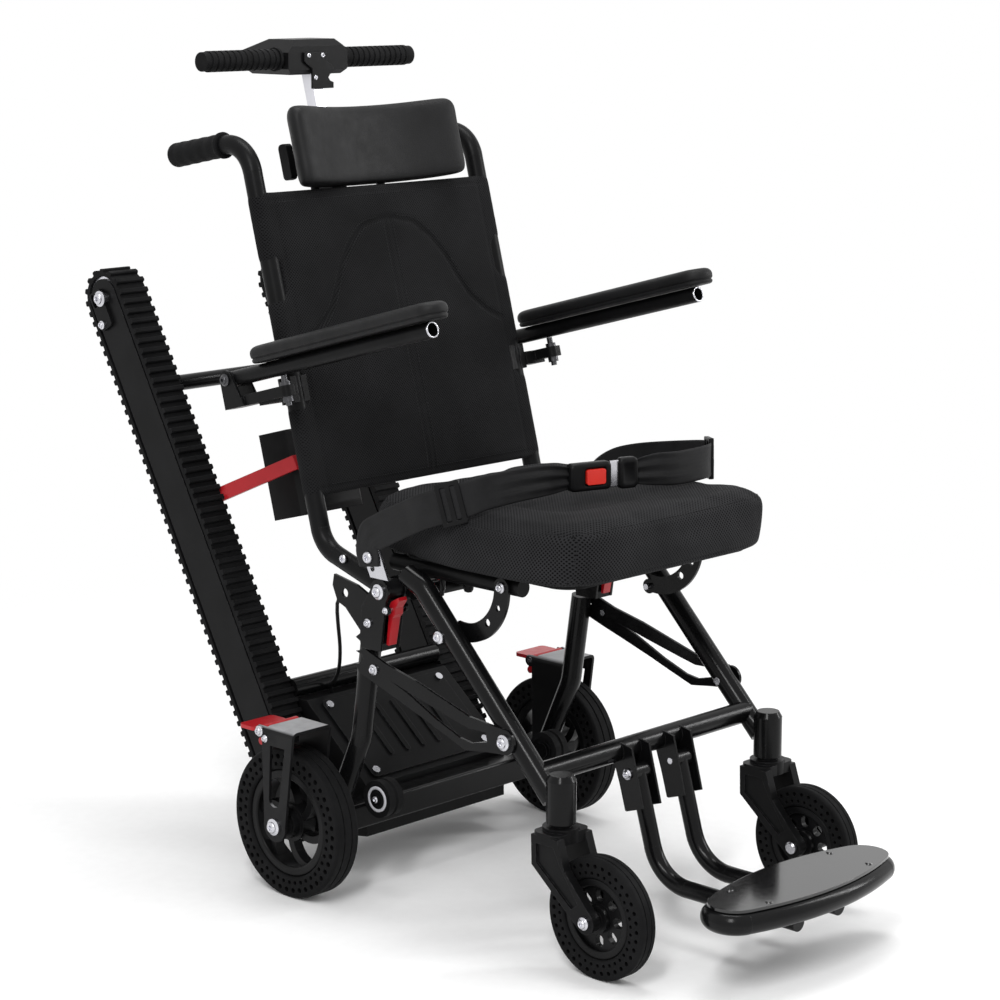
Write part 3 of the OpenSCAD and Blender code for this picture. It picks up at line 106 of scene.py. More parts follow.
def new_look(name):
    """A material, kept in LOOK by its name."""
    m = bpy.data.materials.new(name)
    m.use_nodes = True
    LOOK[name] = m
    return m.node_tree, m.node_tree.nodes["Principled BSDF"]


def coords(nt, scale=(1, 1, 1)):
    tc = new_node(nt, "ShaderNodeTexCoord")
    mp = new_node(nt, "ShaderNodeMapping")
    mp.inputs["Scale"].default_value = scale
    nt.links.new(tc.outputs["Object"], mp.inputs["Vector"])
    return mp.outputs["Vector"]


def noise(nt, vec, scale, detail):
    n = new_node(nt, "ShaderNodeTexNoise")
    set_inputs(n, {"Scale": scale, "Detail": detail})
    nt.links.new(vec, n.inputs["Vector"])
    return n.outputs["Fac"]


def ramp(nt, fac, stops):
    """Colours or grey levels at positions from 0 to 1."""
    r = new_node(nt, "ShaderNodeValToRGB")
    e = r.color_ramp.elements
    while len(e) < len(stops):
        e.new(0.5)
    for k, (pos, c) in zip(e, stops):
        k.position = pos
        k.color = (*c, 1) if isinstance(c, tuple) else (c, c, c, 1)
    nt.links.new(fac, r.inputs["Fac"])
    return r.outputs["Color"]


def mix(nt, fac, a, b):
    m = new_node(nt, "ShaderNodeMix", data_type="RGBA")
    for sock, v in ((m.inputs["Factor"], fac), (m.inputs[6], a), (m.inputs[7], b)):
        if hasattr(v, "links"):
            nt.links.new(v, sock)
        elif isinstance(v, tuple):
            sock.default_value = (*v, 1)
        else:
            sock.default_value = v
    return m.outputs[2]


def math_node(nt, op, a, b=0.0):
    m = new_node(nt, "ShaderNodeMath", operation=op)
    for i, v in enumerate((a, b)):
        if hasattr(v, "links"):
            nt.links.new(v, m.inputs[i])
        else:
            m.inputs[i].default_value = v
    return m.outputs[0]


def rounded_normal(nt, radius):
    bev = new_node(nt, "ShaderNodeBevel", samples=4)
    bev.inputs["Radius"].default_value = radius
    return bev.outputs["Normal"]


def bump(nt, b, height, strength, dist, round_edge=0.0):
    n = new_node(nt, "ShaderNodeBump")
    set_inputs(n, {"Strength": strength, "Distance": dist})
    nt.links.new(height, n.inputs["Height"])
    if round_edge:
        nt.links.new(rounded_normal(nt, round_edge), n.inputs["Normal"])
    nt.links.new(n.outputs["Normal"], b.inputs["Normal"])


def edge_mask(nt, radius):
    """1 along sharp outer and inner edges, 0 on open faces."""
    geo = new_node(nt, "ShaderNodeNewGeometry")
    dot = new_node(nt, "ShaderNodeVectorMath", operation="DOT_PRODUCT")
    nt.links.new(rounded_normal(nt, radius), dot.inputs[0])
    nt.links.new(geo.outputs["Normal"], dot.inputs[1])
    return ramp(nt, dot.outputs["Value"], [(0.74, 1.0), (0.97, 0.0)])


# Background and lamps

WORLD_LIGHT = 0.72  # strength of the background as light; where it is seen, it is white
world = bpy.data.worlds.new("studio")
scene.world = world
world.use_nodes = True
wt = world.node_tree
bg = wt.nodes["Background"]
bg.inputs["Color"].default_value = (1, 1, 1, 1)
ray = new_node(wt, "ShaderNodeLightPath").outputs
seen = math_node(wt, "MAXIMUM", ray["Is Camera Ray"], ray["Is Glossy Ray"])
seen = math_node(wt, "MAXIMUM", seen, ray["Is Transmission Ray"])
power = new_node(wt, "ShaderNodeMapRange")
set_inputs(power, {"To Min": WORLD_LIGHT, "To Max": 1.0})
wt.links.new(seen, power.inputs["Value"])
wt.links.new(power.outputs["Result"], bg.inputs["Strength"])


def lamp(name, at, aim, size, watts):
    d = bpy.data.lights.new(name, "AREA")
    d.shape = "RECTANGLE"
    d.size, d.size_y = size
    d.energy = watts
    o = bpy.data.objects.new(name, d)
    scene.collection.objects.link(o)
    o.location = at
    o.rotation_euler = (Vector(aim) - Vector(at)).to_track_quat("-Z", "Y").to_euler()


lamp("key", at=(-2.4, -1.6, 2.9), aim=(0, 0, 0.5), size=(0.4, 1.8), watts=60)
lamp("top", at=(0.2, 0.1, 3.2), aim=(0, 0, 0.4), size=(1.6, 0.8), watts=34)
lamp("side", at=(2.6, -1.8, 1.8), aim=(0, -0.1, 0.5), size=(0.3, 1.9), watts=32)

# Materials


def surface(name, low, high, rough, metal=0.0, spec=0.5, coat=0.0, grain=(900, 0.08), edge=0.0009,
            stretch=(1, 1, 1), wear=None):
    """Paint, plastic, rubber or metal: patchy colour, uneven gloss, fine grain, rounded, worn edges."""
    patch = 22
    nt, b = new_look(name)
    v = coords(nt, stretch)
    tone = ramp(nt, noise(nt, v, patch, 4), [(0.3, low), (0.7, high)])
    if wear:
        k = math_node(nt, "MULTIPLY", edge_mask(nt, 0.0016),
                      ramp(nt, noise(nt, v, 140, 5), [(0.42, 0.0), (0.66, 1.0)]))
        tone = mix(nt, k, tone, wear)
    gloss = ramp(nt, noise(nt, v, patch * 5, 5), [(0.25, rough[0]), (0.75, rough[1])])
    nt.links.new(tone, b.inputs["Base Color"])
    nt.links.new(gloss, b.inputs["Roughness"])
    set_inputs(b, {"Metallic": metal, "Specular IOR Level": spec, "Coat Weight": coat,
                   "Coat Roughness": 0.12})
    bump(nt, b, noise(nt, v, grain[0], 2), strength=grain[1], dist=0.0006, round_edge=edge)


def mesh_fabric(name, thread, hole, pitch):
    """Open spacer mesh: round holes on a diagonal grid, laid on by the face's own direction."""
    nt, b = new_look(name)
    tc = new_node(nt, "ShaderNodeTexCoord")
    xyz = new_node(nt, "ShaderNodeSeparateXYZ")
    nrm = new_node(nt, "ShaderNodeSeparateXYZ")
    nt.links.new(tc.outputs["Object"], xyz.inputs[0])
    nt.links.new(tc.outputs["Normal"], nrm.inputs[0])

    def cells(u, w):
        c = new_node(nt, "ShaderNodeCombineXYZ")
        nt.links.new(xyz.outputs[u], c.inputs[0])
        nt.links.new(xyz.outputs[w], c.inputs[1])
        mp = new_node(nt, "ShaderNodeMapping")
        mp.inputs["Rotation"].default_value = (0, 0, math.radians(45))
        nt.links.new(c.outputs[0], mp.inputs["Vector"])
        t = new_node(nt, "ShaderNodeTexVoronoi", voronoi_dimensions="2D")
        set_inputs(t, {"Scale": 1 / pitch, "Randomness": 0.0})
        nt.links.new(mp.outputs[0], t.inputs["Vector"])
        return t.outputs["Distance"]

    def faces_along(axis):
        return math_node(nt, "GREATER_THAN", math_node(nt, "ABSOLUTE", nrm.outputs[axis]), 0.66)

    d = mix(nt, faces_along(2), mix(nt, faces_along(0), cells(0, 2), cells(1, 2)), cells(0, 1))
    v = coords(nt)
    fine = noise(nt, v, 1500, 2)
    tone = ramp(nt, d, [(0.18, hole), (0.42, thread)])
    tone = mix(nt, ramp(nt, noise(nt, v, 14, 4), [(0.35, 0.0), (0.7, 0.35)]), tone, hole)
    nt.links.new(tone, b.inputs["Base Color"])
    nt.links.new(ramp(nt, fine, [(0.3, 0.72), (0.7, 0.95)]), b.inputs["Roughness"])
    set_inputs(b, {"Specular IOR Level": 0.06, "Sheen Weight": 0.01, "Sheen Roughness": 0.5})
    h = math_node(nt, "ADD", ramp(nt, d, [(0.12, 0.0), (0.45, 1.0)]),
                  math_node(nt, "MULTIPLY", fine, 0.25))
    bump(nt, b, h, strength=0.6, dist=0.0008)


def leather(name, low, high):
    """Smooth coated cover with a small pebbled grain."""
    nt, b = new_look(name)
    v = coords(nt)
    t = new_node(nt, "ShaderNodeTexVoronoi", feature="DISTANCE_TO_EDGE")
    t.inputs["Scale"].default_value = 620
    nt.links.new(v, t.inputs["Vector"])
    nt.links.new(ramp(nt, noise(nt, v, 18, 4), [(0.3, low), (0.7, high)]), b.inputs["Base Color"])
    nt.links.new(ramp(nt, noise(nt, v, 70, 5), [(0.3, 0.44), (0.7, 0.56)]), b.inputs["Roughness"])
    b.inputs["Specular IOR Level"].default_value = 0.18
    h = math_node(nt, "ADD", ramp(nt, t.outputs["Distance"], [(0.0, 0.0), (0.2, 1.0)]),
                  noise(nt, v, 240, 3))
    bump(nt, b, h, strength=0.22, dist=0.0004)


def webbing(name, low, high):
    """Woven strap: fine ribs in a herringbone, laid on by its UV map."""
    nt, b = new_look(name)
    uv = new_node(nt, "ShaderNodeUVMap", uv_map="strap")
    s = new_node(nt, "ShaderNodeSeparateXYZ")
    nt.links.new(uv.outputs[0], s.inputs[0])

    def waves(along, pitch, share):
        sine = math_node(nt, "SINE", math_node(nt, "MULTIPLY", along, 2 * math.pi / pitch))
        return math_node(nt, "MULTIPLY", sine, share)

    zig = math_node(nt, "PINGPONG", s.outputs[0], 0.0028)
    rib = waves(math_node(nt, "ADD", s.outputs[1], zig), 0.0016, 0.5)
    warp = waves(s.outputs[0], 0.0014, 0.3)
    h = math_node(nt, "ADD", rib, warp)
    patch = noise(nt, coords(nt), 30, 4)
    tone = mix(nt, ramp(nt, h, [(0.0, 0.0), (0.6, 1.0)]),
               ramp(nt, patch, [(0.3, low), (0.7, high)]), high)
    nt.links.new(tone, b.inputs["Base Color"])
    nt.links.new(ramp(nt, patch, [(0.3, 0.5), (0.7, 0.66)]), b.inputs["Roughness"])
    set_inputs(b, {"Specular IOR Level": 0.13, "Sheen Weight": 0.02})
    bump(nt, b, h, strength=0.35, dist=0.0004)


def fork_sheet(name, low, high, pale):
    """Sheet fork: black paint; the pale grey on its upward face is a painted highlight, light from above
    painted into its colour.
    """
    nt, b = new_look(name)
    v = coords(nt)
    g = new_node(nt, "ShaderNodeNewGeometry")
    n = new_node(nt, "ShaderNodeSeparateXYZ")
    nt.links.new(g.outputs["True Normal"], n.inputs[0])
    # painted highlight: faces that turn upwards go pale grey as if lit from above, broken up by noise
    painted_top_highlight = math_node(nt, "MULTIPLY", ramp(nt, n.outputs[2], [(0.55, 0.0), (0.9, 1.0)]),
                        ramp(nt, noise(nt, v, 45, 5), [(0.2, 0.7), (0.6, 1.0)]))
    tone = mix(nt, painted_top_highlight, ramp(nt, noise(nt, v, 25, 4), [(0.3, low), (0.7, high)]), pale)
    nt.links.new(tone, b.inputs["Base Color"])
    nt.links.new(ramp(nt, noise(nt, v, 120, 4), [(0.3, 0.34), (0.7, 0.48)]), b.inputs["Roughness"])
    b.inputs["Specular IOR Level"].default_value = 0.14
    bump(nt, b, noise(nt, v, 800, 2), strength=0.07, dist=0.0005, round_edge=0.0008)


def grey(level):
    """A grey with a trace of blue."""
    return (level, level, level * 1.06)


surface("frame_black", grey(0.003), grey(0.005), (0.14, 0.24), spec=0.15, wear=grey(0.03))
surface("track_plate", grey(0.004), grey(0.0065), (0.3, 0.42), spec=0.09, grain=(1400, 0.06),
        wear=grey(0.05))
surface("bright_steel", grey(0.5), grey(0.66), (0.18, 0.34), metal=1.0, grain=(600, 0.05), edge=0.0005)
# rear forks: black paint with a painted highlight on their upward faces
fork_sheet("fork_grey", (0.004, 0.004, 0.0045), (0.008, 0.008, 0.0085), (0.34, 0.34, 0.35))
surface("tyre_rubber", grey(0.005), grey(0.008), (0.6, 0.78), spec=0.08, grain=(420, 0.22), edge=0.0006,
        wear=grey(0.02))
surface("belt_rubber", grey(0.004), grey(0.008), (0.56, 0.74), spec=0.08, grain=(500, 0.2), edge=0.0006,
        wear=grey(0.02))
surface("black_plastic", grey(0.004), grey(0.007), (0.3, 0.42), spec=0.12, grain=(1100, 0.14))
leather("black_leather", grey(0.005), grey(0.009))
webbing("webbing", grey(0.005), grey(0.014))
mesh_fabric("spacer_mesh", grey(0.015), grey(0.0006), pitch=0.003)
surface("signal_red", (0.36, 0.004, 0.009), (0.46, 0.008, 0.014), (0.28, 0.4), spec=0.35, coat=0.1,
        wear=(0.16, 0.03, 0.03))
surface("red_plastic", (0.7, 0.02, 0.012), (0.78, 0.03, 0.016), (0.34, 0.44), grain=(900, 0.1))
surface("bare_aluminium", grey(0.66), grey(0.78), (0.24, 0.4), metal=1.0, grain=(500, 0.06),
        stretch=(1, 1, 0.04))
mesh_fabric("seat_mesh", grey(0.026), grey(0.0006), pitch=0.0036)
surface("dark_steel", grey(0.05), grey(0.09), (0.22, 0.34), metal=1.0, grain=(600, 0.05), edge=0.0005)
surface("foot_plastic", grey(0.003), grey(0.005), (0.08, 0.14), spec=0.5, coat=0.35, grain=(700, 0.008))
surface("thread", grey(0.012), grey(0.02), (0.5, 0.7), spec=0.15, grain=(2000, 0.1))
surface("pale_ring", grey(0.52), grey(0.6), (0.4, 0.52), grain=(900, 0.06))

for look, names in {
        "frame_black": "base_frame front_frame side_links pivot_posts cross_tubes footrest_frame "
                       "quadrant_plates",
        "track_plate": "back_frame arm_brackets arm_tube_right arm_tube_left headrest_bracket "
                       "caster_fork_right caster_fork_left seat_frame track_beams track_tensioners "
                       "drive_cover drive_housing",
        "bright_steel": "frame_fasteners caster_pins_right caster_pins_left drive_axle belt_hardware",
        "dark_steel": "back_fasteners",
        "fork_grey": "rear_forks",
        "bare_aluminium": "drive_unit idler_right idler_left handle_post",
        "tyre_rubber": "rear_tyre_right rear_tyre_left caster_tyre_right caster_tyre_left",
        "belt_rubber": "track_belts guide_roller_right guide_roller_left push_grips handle_grips",
        "black_plastic": "rear_hub_right rear_hub_left caster_hub_right caster_hub_left battery_pack "
                         "control_box belt_buckle power_cable",
        "foot_plastic": "footplate",
        "black_leather": "headrest_pad arm_pad_right arm_pad_left",
        "spacer_mesh": "seat_cushion back_panel",
        "webbing": "lap_belt",
        "signal_red": "stay_bar brake_pedal_right brake_pedal_left latch_lever_right latch_lever_left",
        "red_plastic": "buckle_button"}.items():
    for name in names.split():
        materials = CAD_NODES[name].data.materials
        materials.clear()
        materials.append(LOOK[look])

# Mesh helpers: o is an object, me a mesh, co the places of its vertices


def smooth_shaded(me):
    me.polygons.foreach_set("use_smooth", [True] * len(me.polygons))


def add(name, verts, faces, body, slot, smooth=True, uv=None, look=None):
    """A piece that rides on a body, with the slot's look or one of its own."""
    me = bpy.data.meshes.new(name)
    me.from_pydata([tuple(v) for v in verts], [], [tuple(f) for f in faces])
    me.update()
    if smooth:
        smooth_shaded(me)
    me.materials.append(LOOK[look or slot])
    if uv is not None:
        layer = me.uv_layers.new(name="strap")
        layer.data.foreach_set("uv", [c for loop in me.loops for c in uv[loop.vertex_index]])
    o = bpy.data.objects.new(name, me)
    scene.collection.objects.link(o)
    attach(o, body)
    return o


def dress(o, body, slot, look=None):
    """Does for a mesh that was formed as an object what add does for a new one."""
    o.data.materials.clear()
    o.data.materials.append(LOOK[look or slot])
    smooth_shaded(o.data)
    o.data.update()
    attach(o, body)


def soften(o, angle=40):
    """Smooth shading with the edges sharper than the angle kept."""
    smooth_shaded(o.data)
    o.data.set_sharp_from_angle(angle=math.radians(angle))


def facing_out(o):
    bm = bmesh.new()
    bm.from_mesh(o.data)
    bmesh.ops.recalc_face_normals(bm, faces=bm.faces)
    bm.to_mesh(o.data)
    bm.free()


def loft(rings, cap=True):
    """Vertices and faces of rings of equal count, joined in a row."""
    n = len(rings[0])
    verts = [q for r in rings for q in r]
    faces = []
    for i in range(len(rings) - 1):
        for j in range(n):
            k = (j + 1) % n
            faces.append((i * n + j, i * n + k, (i + 1) * n + k, (i + 1) * n + j))
    if cap:
        for first, order in ((0, -1), ((len(rings) - 1) * n, 1)):
            ring = [first + j for j in range(n)]
            faces.append(tuple(ring[::order]))
    return verts, faces


def joined(shapes):
    """One list of vertices and one of faces, from several."""
    verts, faces = [], []
    for v, f in shapes:
        first = len(verts)
        faces += [tuple(i + first for i in q) for q in f]
        verts += v
    return verts, faces


def cross_axes(axis):
    """The axis at unit length, and two directions square to it."""
    axis = Vector(axis).normalized()
    u = axis.orthogonal().normalized()
    return axis, u, axis.cross(u)


def rounded_outline(w, h, r, cx=0.0):
    """A rectangle of width and height about cx, with round corners."""
    n = 6
    out = []
    for kx, kz, a0 in ((1, 1, 0), (-1, 1, 90), (-1, -1, 180), (1, -1, 270)):
        for i in range(n):
            t = math.radians(a0 + 90 * i / (n - 1))
            out.append((cx + kx * (w / 2 - r) + r * math.cos(t), kz * (h / 2 - r) + r * math.sin(t)))
    return out


def subsurf(o, levels):
    m = o.modifiers.new("smooth", "SUBSURF")
    m.levels = m.render_levels = levels


def apply_modifiers(o):
    dg = bpy.context.evaluated_depsgraph_get()
    me = bpy.data.meshes.new_from_object(o.evaluated_get(dg))
    old = o.data
    o.modifiers.clear()
    o.data = me
    bpy.data.meshes.remove(old)


def vertex_rows(me, what="co"):
    """The vertices' places, or their normals, as rows of three."""
    a = np.zeros(len(me.vertices) * 3, np.float32)
    me.vertices.foreach_get(what, a)
    return a.reshape(-1, 3).astype(float)


def set_co(me, co):
    me.vertices.foreach_set("co", co.astype(np.float32).ravel())
    me.update()


def relax(me, times):
    """Moves each vertex half way to the mean of its neighbours."""
    e = np.zeros(len(me.edges) * 2, np.int64)
    me.edges.foreach_get("vertices", e)
    a, b = e.reshape(-1, 2).T
    co = vertex_rows(me)
    count = len(co)
    deg = np.bincount(e, minlength=count).astype(float)[:, None]
    for _ in range(times):
        t = np.zeros_like(co)
        for k in range(3):
            t[:, k] = np.bincount(a, co[b, k], count) + np.bincount(b, co[a, k], count)
        co = co + (t / deg - co) * 0.5
    set_co(me, co)


def remeshed(name, verts, faces, voxel):
    """An even grid of faces over a closed shape."""
    me = bpy.data.meshes.new(name + "_base")
    me.from_pydata([tuple(v) for v in verts], [], [tuple(f) for f in faces])
    o = bpy.data.objects.new(name, me)
    scene.collection.objects.link(o)
    m = o.modifiers.new("grid", "REMESH")
    m.mode = "VOXEL"
    m.voxel_size = voxel
    apply_modifiers(o)
    return o


def puff(o, pressure, cap, pin):
    """Blows a closed cover up by cloth simulation; no vertex moves further than cap."""
    frames = 20
    start = vertex_rows(o.data)
    c = o.modifiers.new("cloth", "CLOTH")
    st = c.settings
    st.quality = 5
    st.mass = 0.3
    st.tension_stiffness = st.compression_stiffness = 18
    st.shear_stiffness = 6
    st.bending_stiffness = 1.2
    st.use_pressure = True
    st.uniform_pressure_force = pressure
    st.effector_weights.gravity = 0
    c.collision_settings.use_collision = False
    c.collision_settings.use_self_collision = False
    g = o.vertex_groups.new(name="pin")
    g.add([int(i) for i in np.nonzero(pin)[0]], 1.0, "REPLACE")
    st.vertex_group_mass = "pin"
    c.point_cache.frame_start = 1
    c.point_cache.frame_end = frames
    for f in range(1, frames + 1):
        scene.frame_set(f)
    dg = bpy.context.evaluated_depsgraph_get()
    end = vertex_rows(o.evaluated_get(dg).to_mesh())
    o.evaluated_get(dg).to_mesh_clear()
    o.modifiers.clear()
    o.vertex_groups.clear()
    scene.frame_set(1)
    move = end - start
    d = np.linalg.norm(move, axis=1, keepdims=True)
    set_co(o.data, start + move * np.minimum(1, cap / np.maximum(d, 1e-9)))


def refine(o):
    subsurf(o, 1)
    apply_modifiers(o)


def to_lines(co, lines):
    """Distance of each vertex to the nearest of some open lines."""
    best = np.full(len(co), 9.0)
    for line in lines:
        q = np.array([tuple(v) for v in line], float)
        for a, b in zip(q[:-1], q[1:]):
            d = b - a
            t = np.clip(((co - a) @ d) / max(d @ d, 1e-12), 0, 1)
            best = np.minimum(best, np.linalg.norm(co - a - t[:, None] * d, axis=1))
    return best


def groove(me, lines, depth, width):
    """Draws a mesh in along seam lines."""
    co, nrm = vertex_rows(me), vertex_rows(me, "normal")
    d = to_lines(co, lines)
    set_co(me, co - nrm * (depth * np.exp(-(d / width) ** 2))[:, None])


def between(a, b, c, d, t):
    """A smooth line from b to c at t from 0 to 1, where a comes before them and d after."""
    return 0.5 * (2 * b + (c - a) * t + (2 * a - 5 * b + 4 * c - d) * t * t
                  + (3 * b - a - 3 * c + d) * t ** 3)


def spline(points, step):
    """A smooth line through points, with a point about every step."""
    q = [Vector(p) for p in points]
    q = [q[0] * 2 - q[1]] + q + [q[-1] * 2 - q[-2]]
    out = []
    for i in range(1, len(q) - 2):
        n = max(1, int((q[i + 1] - q[i]).length / step))
        out += [between(*q[i - 1:i + 3], k / n) for k in range(n)]
    return out + [q[-2]]


STITCH_PITCH, STITCH_LENGTH, THREAD_R = 0.0046, 0.003, 0.0004  # metres
STITCH_ROWS = ((-1, -0.2, 0.7), (-0.55, 0.9, 1), (0.55, 0.9, 1), (1, -0.2, 0.7))  # along, lift, size


def stitches(name, o, lines, body, slot):
    """Thread along seam lines, each stitch a small bar that dips into the cover at its ends."""
    sides = 6
    me = o.data
    tree = BVHTree.FromPolygons([v.co for v in me.vertices], [tuple(p.vertices) for p in me.polygons])
    bars = []
    for line in lines:
        q = spline(line, STITCH_PITCH)
        for a, b in zip(q[:-1], q[1:]):
            c, nrm = tree.find_nearest((a + b) / 2)[:2]
            d = b - a
            d = (d - nrm * d.dot(nrm)).normalized()
            w = d.cross(nrm)
            rings = []
            for k, lift, part in STITCH_ROWS:
                m = c + d * (k * STITCH_LENGTH / 2) + nrm * (THREAD_R * lift)
                turns = [i * math.pi / (sides / 2) for i in range(sides)]
                rings.append([m + (w * math.cos(t) + nrm * math.sin(t)) * THREAD_R * part for t in turns])
            bars.append(loft(rings))
    return add(name, *joined(bars), body, slot, look="thread")


# Lead from the post to the housing

route = [point(*q) for q in (
    (-198.2, 92, 402), (-198, 100, 386), (-190, 108, 360), (-172, 124, 320), (-150, 150, 284),
    (-124, 186, 256), (-98, 222, 238), (-84, 240, 228), (-80, 243, 218))]
lead_pts = spline(route, 0.012)
curve = bpy.data.curves.new("lead", "CURVE")
curve.dimensions = "3D"
curve.bevel_depth = 0.0025
curve.bevel_resolution = 5
poly = curve.splines.new("POLY")
poly.points.add(len(lead_pts) - 1)
for q, v in zip(poly.points, lead_pts):
    q.co = (*v, 1)
curve.materials.append(LOOK["black_plastic"])
lead = bpy.data.objects.new("lead", curve)
scene.collection.objects.link(lead)
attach(lead, "chassis")
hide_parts("power_cable")

# Seat cushion

SEAT_Z, SEAT_H = 463.6, 66.0  # underside and height
SEAT_BACK, SEAT_DEPTH = 85, 400
SEAT_HALF, SEAT_FLARE = 189, 20  # half the width at the back, and what each side gains at the front
SEAT_CORNER = 0.34  # power of the outline: the smaller, the squarer
FLARE_FROM, FLARE_RUN = -10, 70  # where the sides begin to widen, and over what length
NOSE_FROM, NOSE_RUN = -215, 95  # the same for the fuller front edge
NOSE_OUT, NOSE_UP = 12, 10  # how far the front edge stands out and up
DISH_MID, DISH_HALF_X, DISH_HALF_Y, DISH_DEEP = -112, 150, 142, 6  # the hollow in the top
SEAT_ROWS = (  # inset and height of each ring
    (150, 0.4), (60, 0.4), (14, 0.4), (6, 3), (3, 10), (3, 24), (3, 40), (3, 52), (6, 60), (12, 64),
    (24, 65), (46, 65), (90, 66), (140, 67))


def clamped(k):
    """Kept from 0 to 1."""
    return max(0, min(1, k))


def seat_half(y):
    k = clamped((FLARE_FROM - y) / FLARE_RUN)
    return SEAT_HALF + SEAT_FLARE * k * k * (3 - 2 * k)


def seat_ring(inset, height):
    n = 112
    depth, mid = SEAT_DEPTH / 2 - inset, SEAT_BACK - SEAT_DEPTH / 2
    z = SEAT_Z + height
    out = []
    for i in range(n):
        a = 2 * math.pi * i / n
        c, s = math.cos(a), math.sin(a)
        y = mid + depth * math.copysign(abs(s) ** SEAT_CORNER, s)
        x = (seat_half(y) - inset) * math.copysign(abs(c) ** SEAT_CORNER, c)
        k = min(1, (z - SEAT_Z) / SEAT_H) * clamped((NOSE_FROM - y) / NOSE_RUN)
        out.append(point(x, y - NOSE_OUT * k, z + NOSE_UP * k))
    return out


def seat_seam(inset, height, lift=0.001):
    """A closed line round the seat; lift is in metres."""
    ring = [q + Vector((0, 0, lift)) for q in seat_ring(inset, height)]
    return ring + ring[:1]


seat = remeshed("seat_pad", *loft([seat_ring(*row) for row in SEAT_ROWS]), voxel=0.0045)
puff(seat, pressure=4.0, cap=0.007, pin=vertex_rows(seat.data)[:, 2] < (SEAT_Z + 5) / MM)
relax(seat.data, times=4)
refine(seat)

co = vertex_rows(seat.data)
across = np.abs(co[:, 0] * MM) / DISH_HALF_X
along = np.abs(co[:, 1] * MM + MID - DISH_MID) / DISH_HALF_Y
on_top = np.clip((co[:, 2] * MM - SEAT_Z - 50) / 14, 0, 1)
dish = np.clip(1 - (across ** 4 + along ** 4) ** 0.25, 0, 1)
co[:, 2] -= on_top * (DISH_DEEP / MM) * np.clip(dish * 3, 0, 1) ** 2
set_co(seat.data, co)
groove(seat.data, [seat_seam(3, 63)], depth=0.0026, width=0.0028)
groove(seat.data, [seat_seam(1, 9, lift=0)], depth=0.0018, width=0.0026)
co = vertex_rows(seat.data)
co[:, 2] = np.maximum(co[:, 2], (SEAT_Z - 0.1) / MM)
set_co(seat.data, co)
dress(seat, "chassis", "spacer_mesh", look="seat_mesh")
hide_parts("seat_cushion")
stitches("seat_stitches", seat, [seat_seam(9, 66)], "chassis", "spacer_mesh")

# Back cover: a padded sling with a sleeve round each tube

COVER_FOOT, COVER_TOP = 1, 401.5
COVER_HALF = 196
COVER_REAR, COVER_FRONT = 0.5, 13.4
COVER_R = 5.0  # of the slab's long edges
SLEEVE_R = 14.2
SLEEVES = ((COVER_FOOT, 123), (163, 263), (307, COVER_TOP))  # foot and top of each


def back_slab():
    """The sling before it is blown up, as rings up the back."""
    rings = []
    for t, k in ((COVER_FOOT, 0.6), (COVER_FOOT + 2, 0.2), (COVER_FOOT + 6, 0), (COVER_TOP - 6, 0),
                 (COVER_TOP - 2, 0.2), (COVER_TOP, 0.6)):
        r = COVER_R
        x = COVER_HALF - r - 4 * k
        front, rear = COVER_FRONT - r - 4 * k, COVER_REAR + r + 4 * k
        ring = []
        for cx, cf, a0 in ((x, front, 0), (-x, front, 90), (-x, rear, 180), (x, rear, 270)):
            for i in range(5):
                a = math.radians(a0 + i * 22.5)
                ring.append(back_point(cx + r * math.cos(a), cf + r * math.sin(a), t))
        rings.append(ring[::-1])
    return loft(rings)


def back_sleeve(x, foot, top):
    n = 28
    turns = [2 * math.pi * -i / n for i in range(n)]
    rings = []
    for t, k in ((foot, 1.2), (foot + 1.5, 0), (top - 1.5, 0), (top, 1.2)):
        r = SLEEVE_R - k
        rings.append([back_point(x + r * math.cos(a), r * math.sin(a), t) for a in turns])
    return loft(rings)


def on_front(pts, f=16.5):
    """Points of the cover's face: across and up."""
    return [back_point(x, f, t) for x, t in pts]


def on_hem(pts):
    return on_front(pts, 14)


sleeves = [back_sleeve(k * TUBE_X, *ends) for k in (-1, 1) for ends in SLEEVES]
cover = remeshed("back_cover", *joined([back_slab()] + sleeves), voxel=0.005)
co = vertex_rows(cover.data)
forward = -(co[:, 1] * MM + MID - BACK_Y) * LEAN_COS + (co[:, 2] * MM - BACK_Z) * LEAN_SIN
puff(cover, pressure=3.0, cap=0.006, pin=(forward < 2) | (np.abs(co[:, 0]) > 0.186))
relax(cover.data, times=4)
refine(cover)

shoulder = [(-2, 352), (14, 351), (46, 344), (74, 322), (96, 294), (112, 264), (130, 236), (160, 212),
            (186, 200)]
shoulders = [on_front([(k * x, t) for x, t in shoulder]) for k in (1, -1)]
middles = [on_front([(x, t) for t in (346, 240, 120, 8)]) for x in (-5, 5)]
groove(cover.data, shoulders, depth=0.003, width=0.0042)
groove(cover.data, middles, depth=0.0016, width=0.0022)
groove(cover.data, [on_hem([(-198, t), (198, t)]) for t in (389, 11)], depth=0.0012, width=0.0024)
for k in (-1, 1):
    groove(cover.data, [on_hem([(k * 187, 6), (k * 187, 395)])], depth=0.0012, width=0.0028)
dress(cover, "back", "spacer_mesh")
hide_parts("back_panel")
beside = [[(x + 4, t + 4) for x, t in shoulder[1:]], [(x - 3, t - 4) for x, t in shoulder[1:]]]
sewn = [on_front([(k * x, t) for x, t in line]) for line in beside for k in (-1, 1)]
sewn += [on_front([(k * 9, t) for t in (342, 240, 120, 12)]) for k in (-1, 1)]
sewn += [on_hem([(-182, t), (182, t)]) for t in (385, 15)]
stitches("back_stitches", cover, sewn, "back", "spacer_mesh")

# Headrest

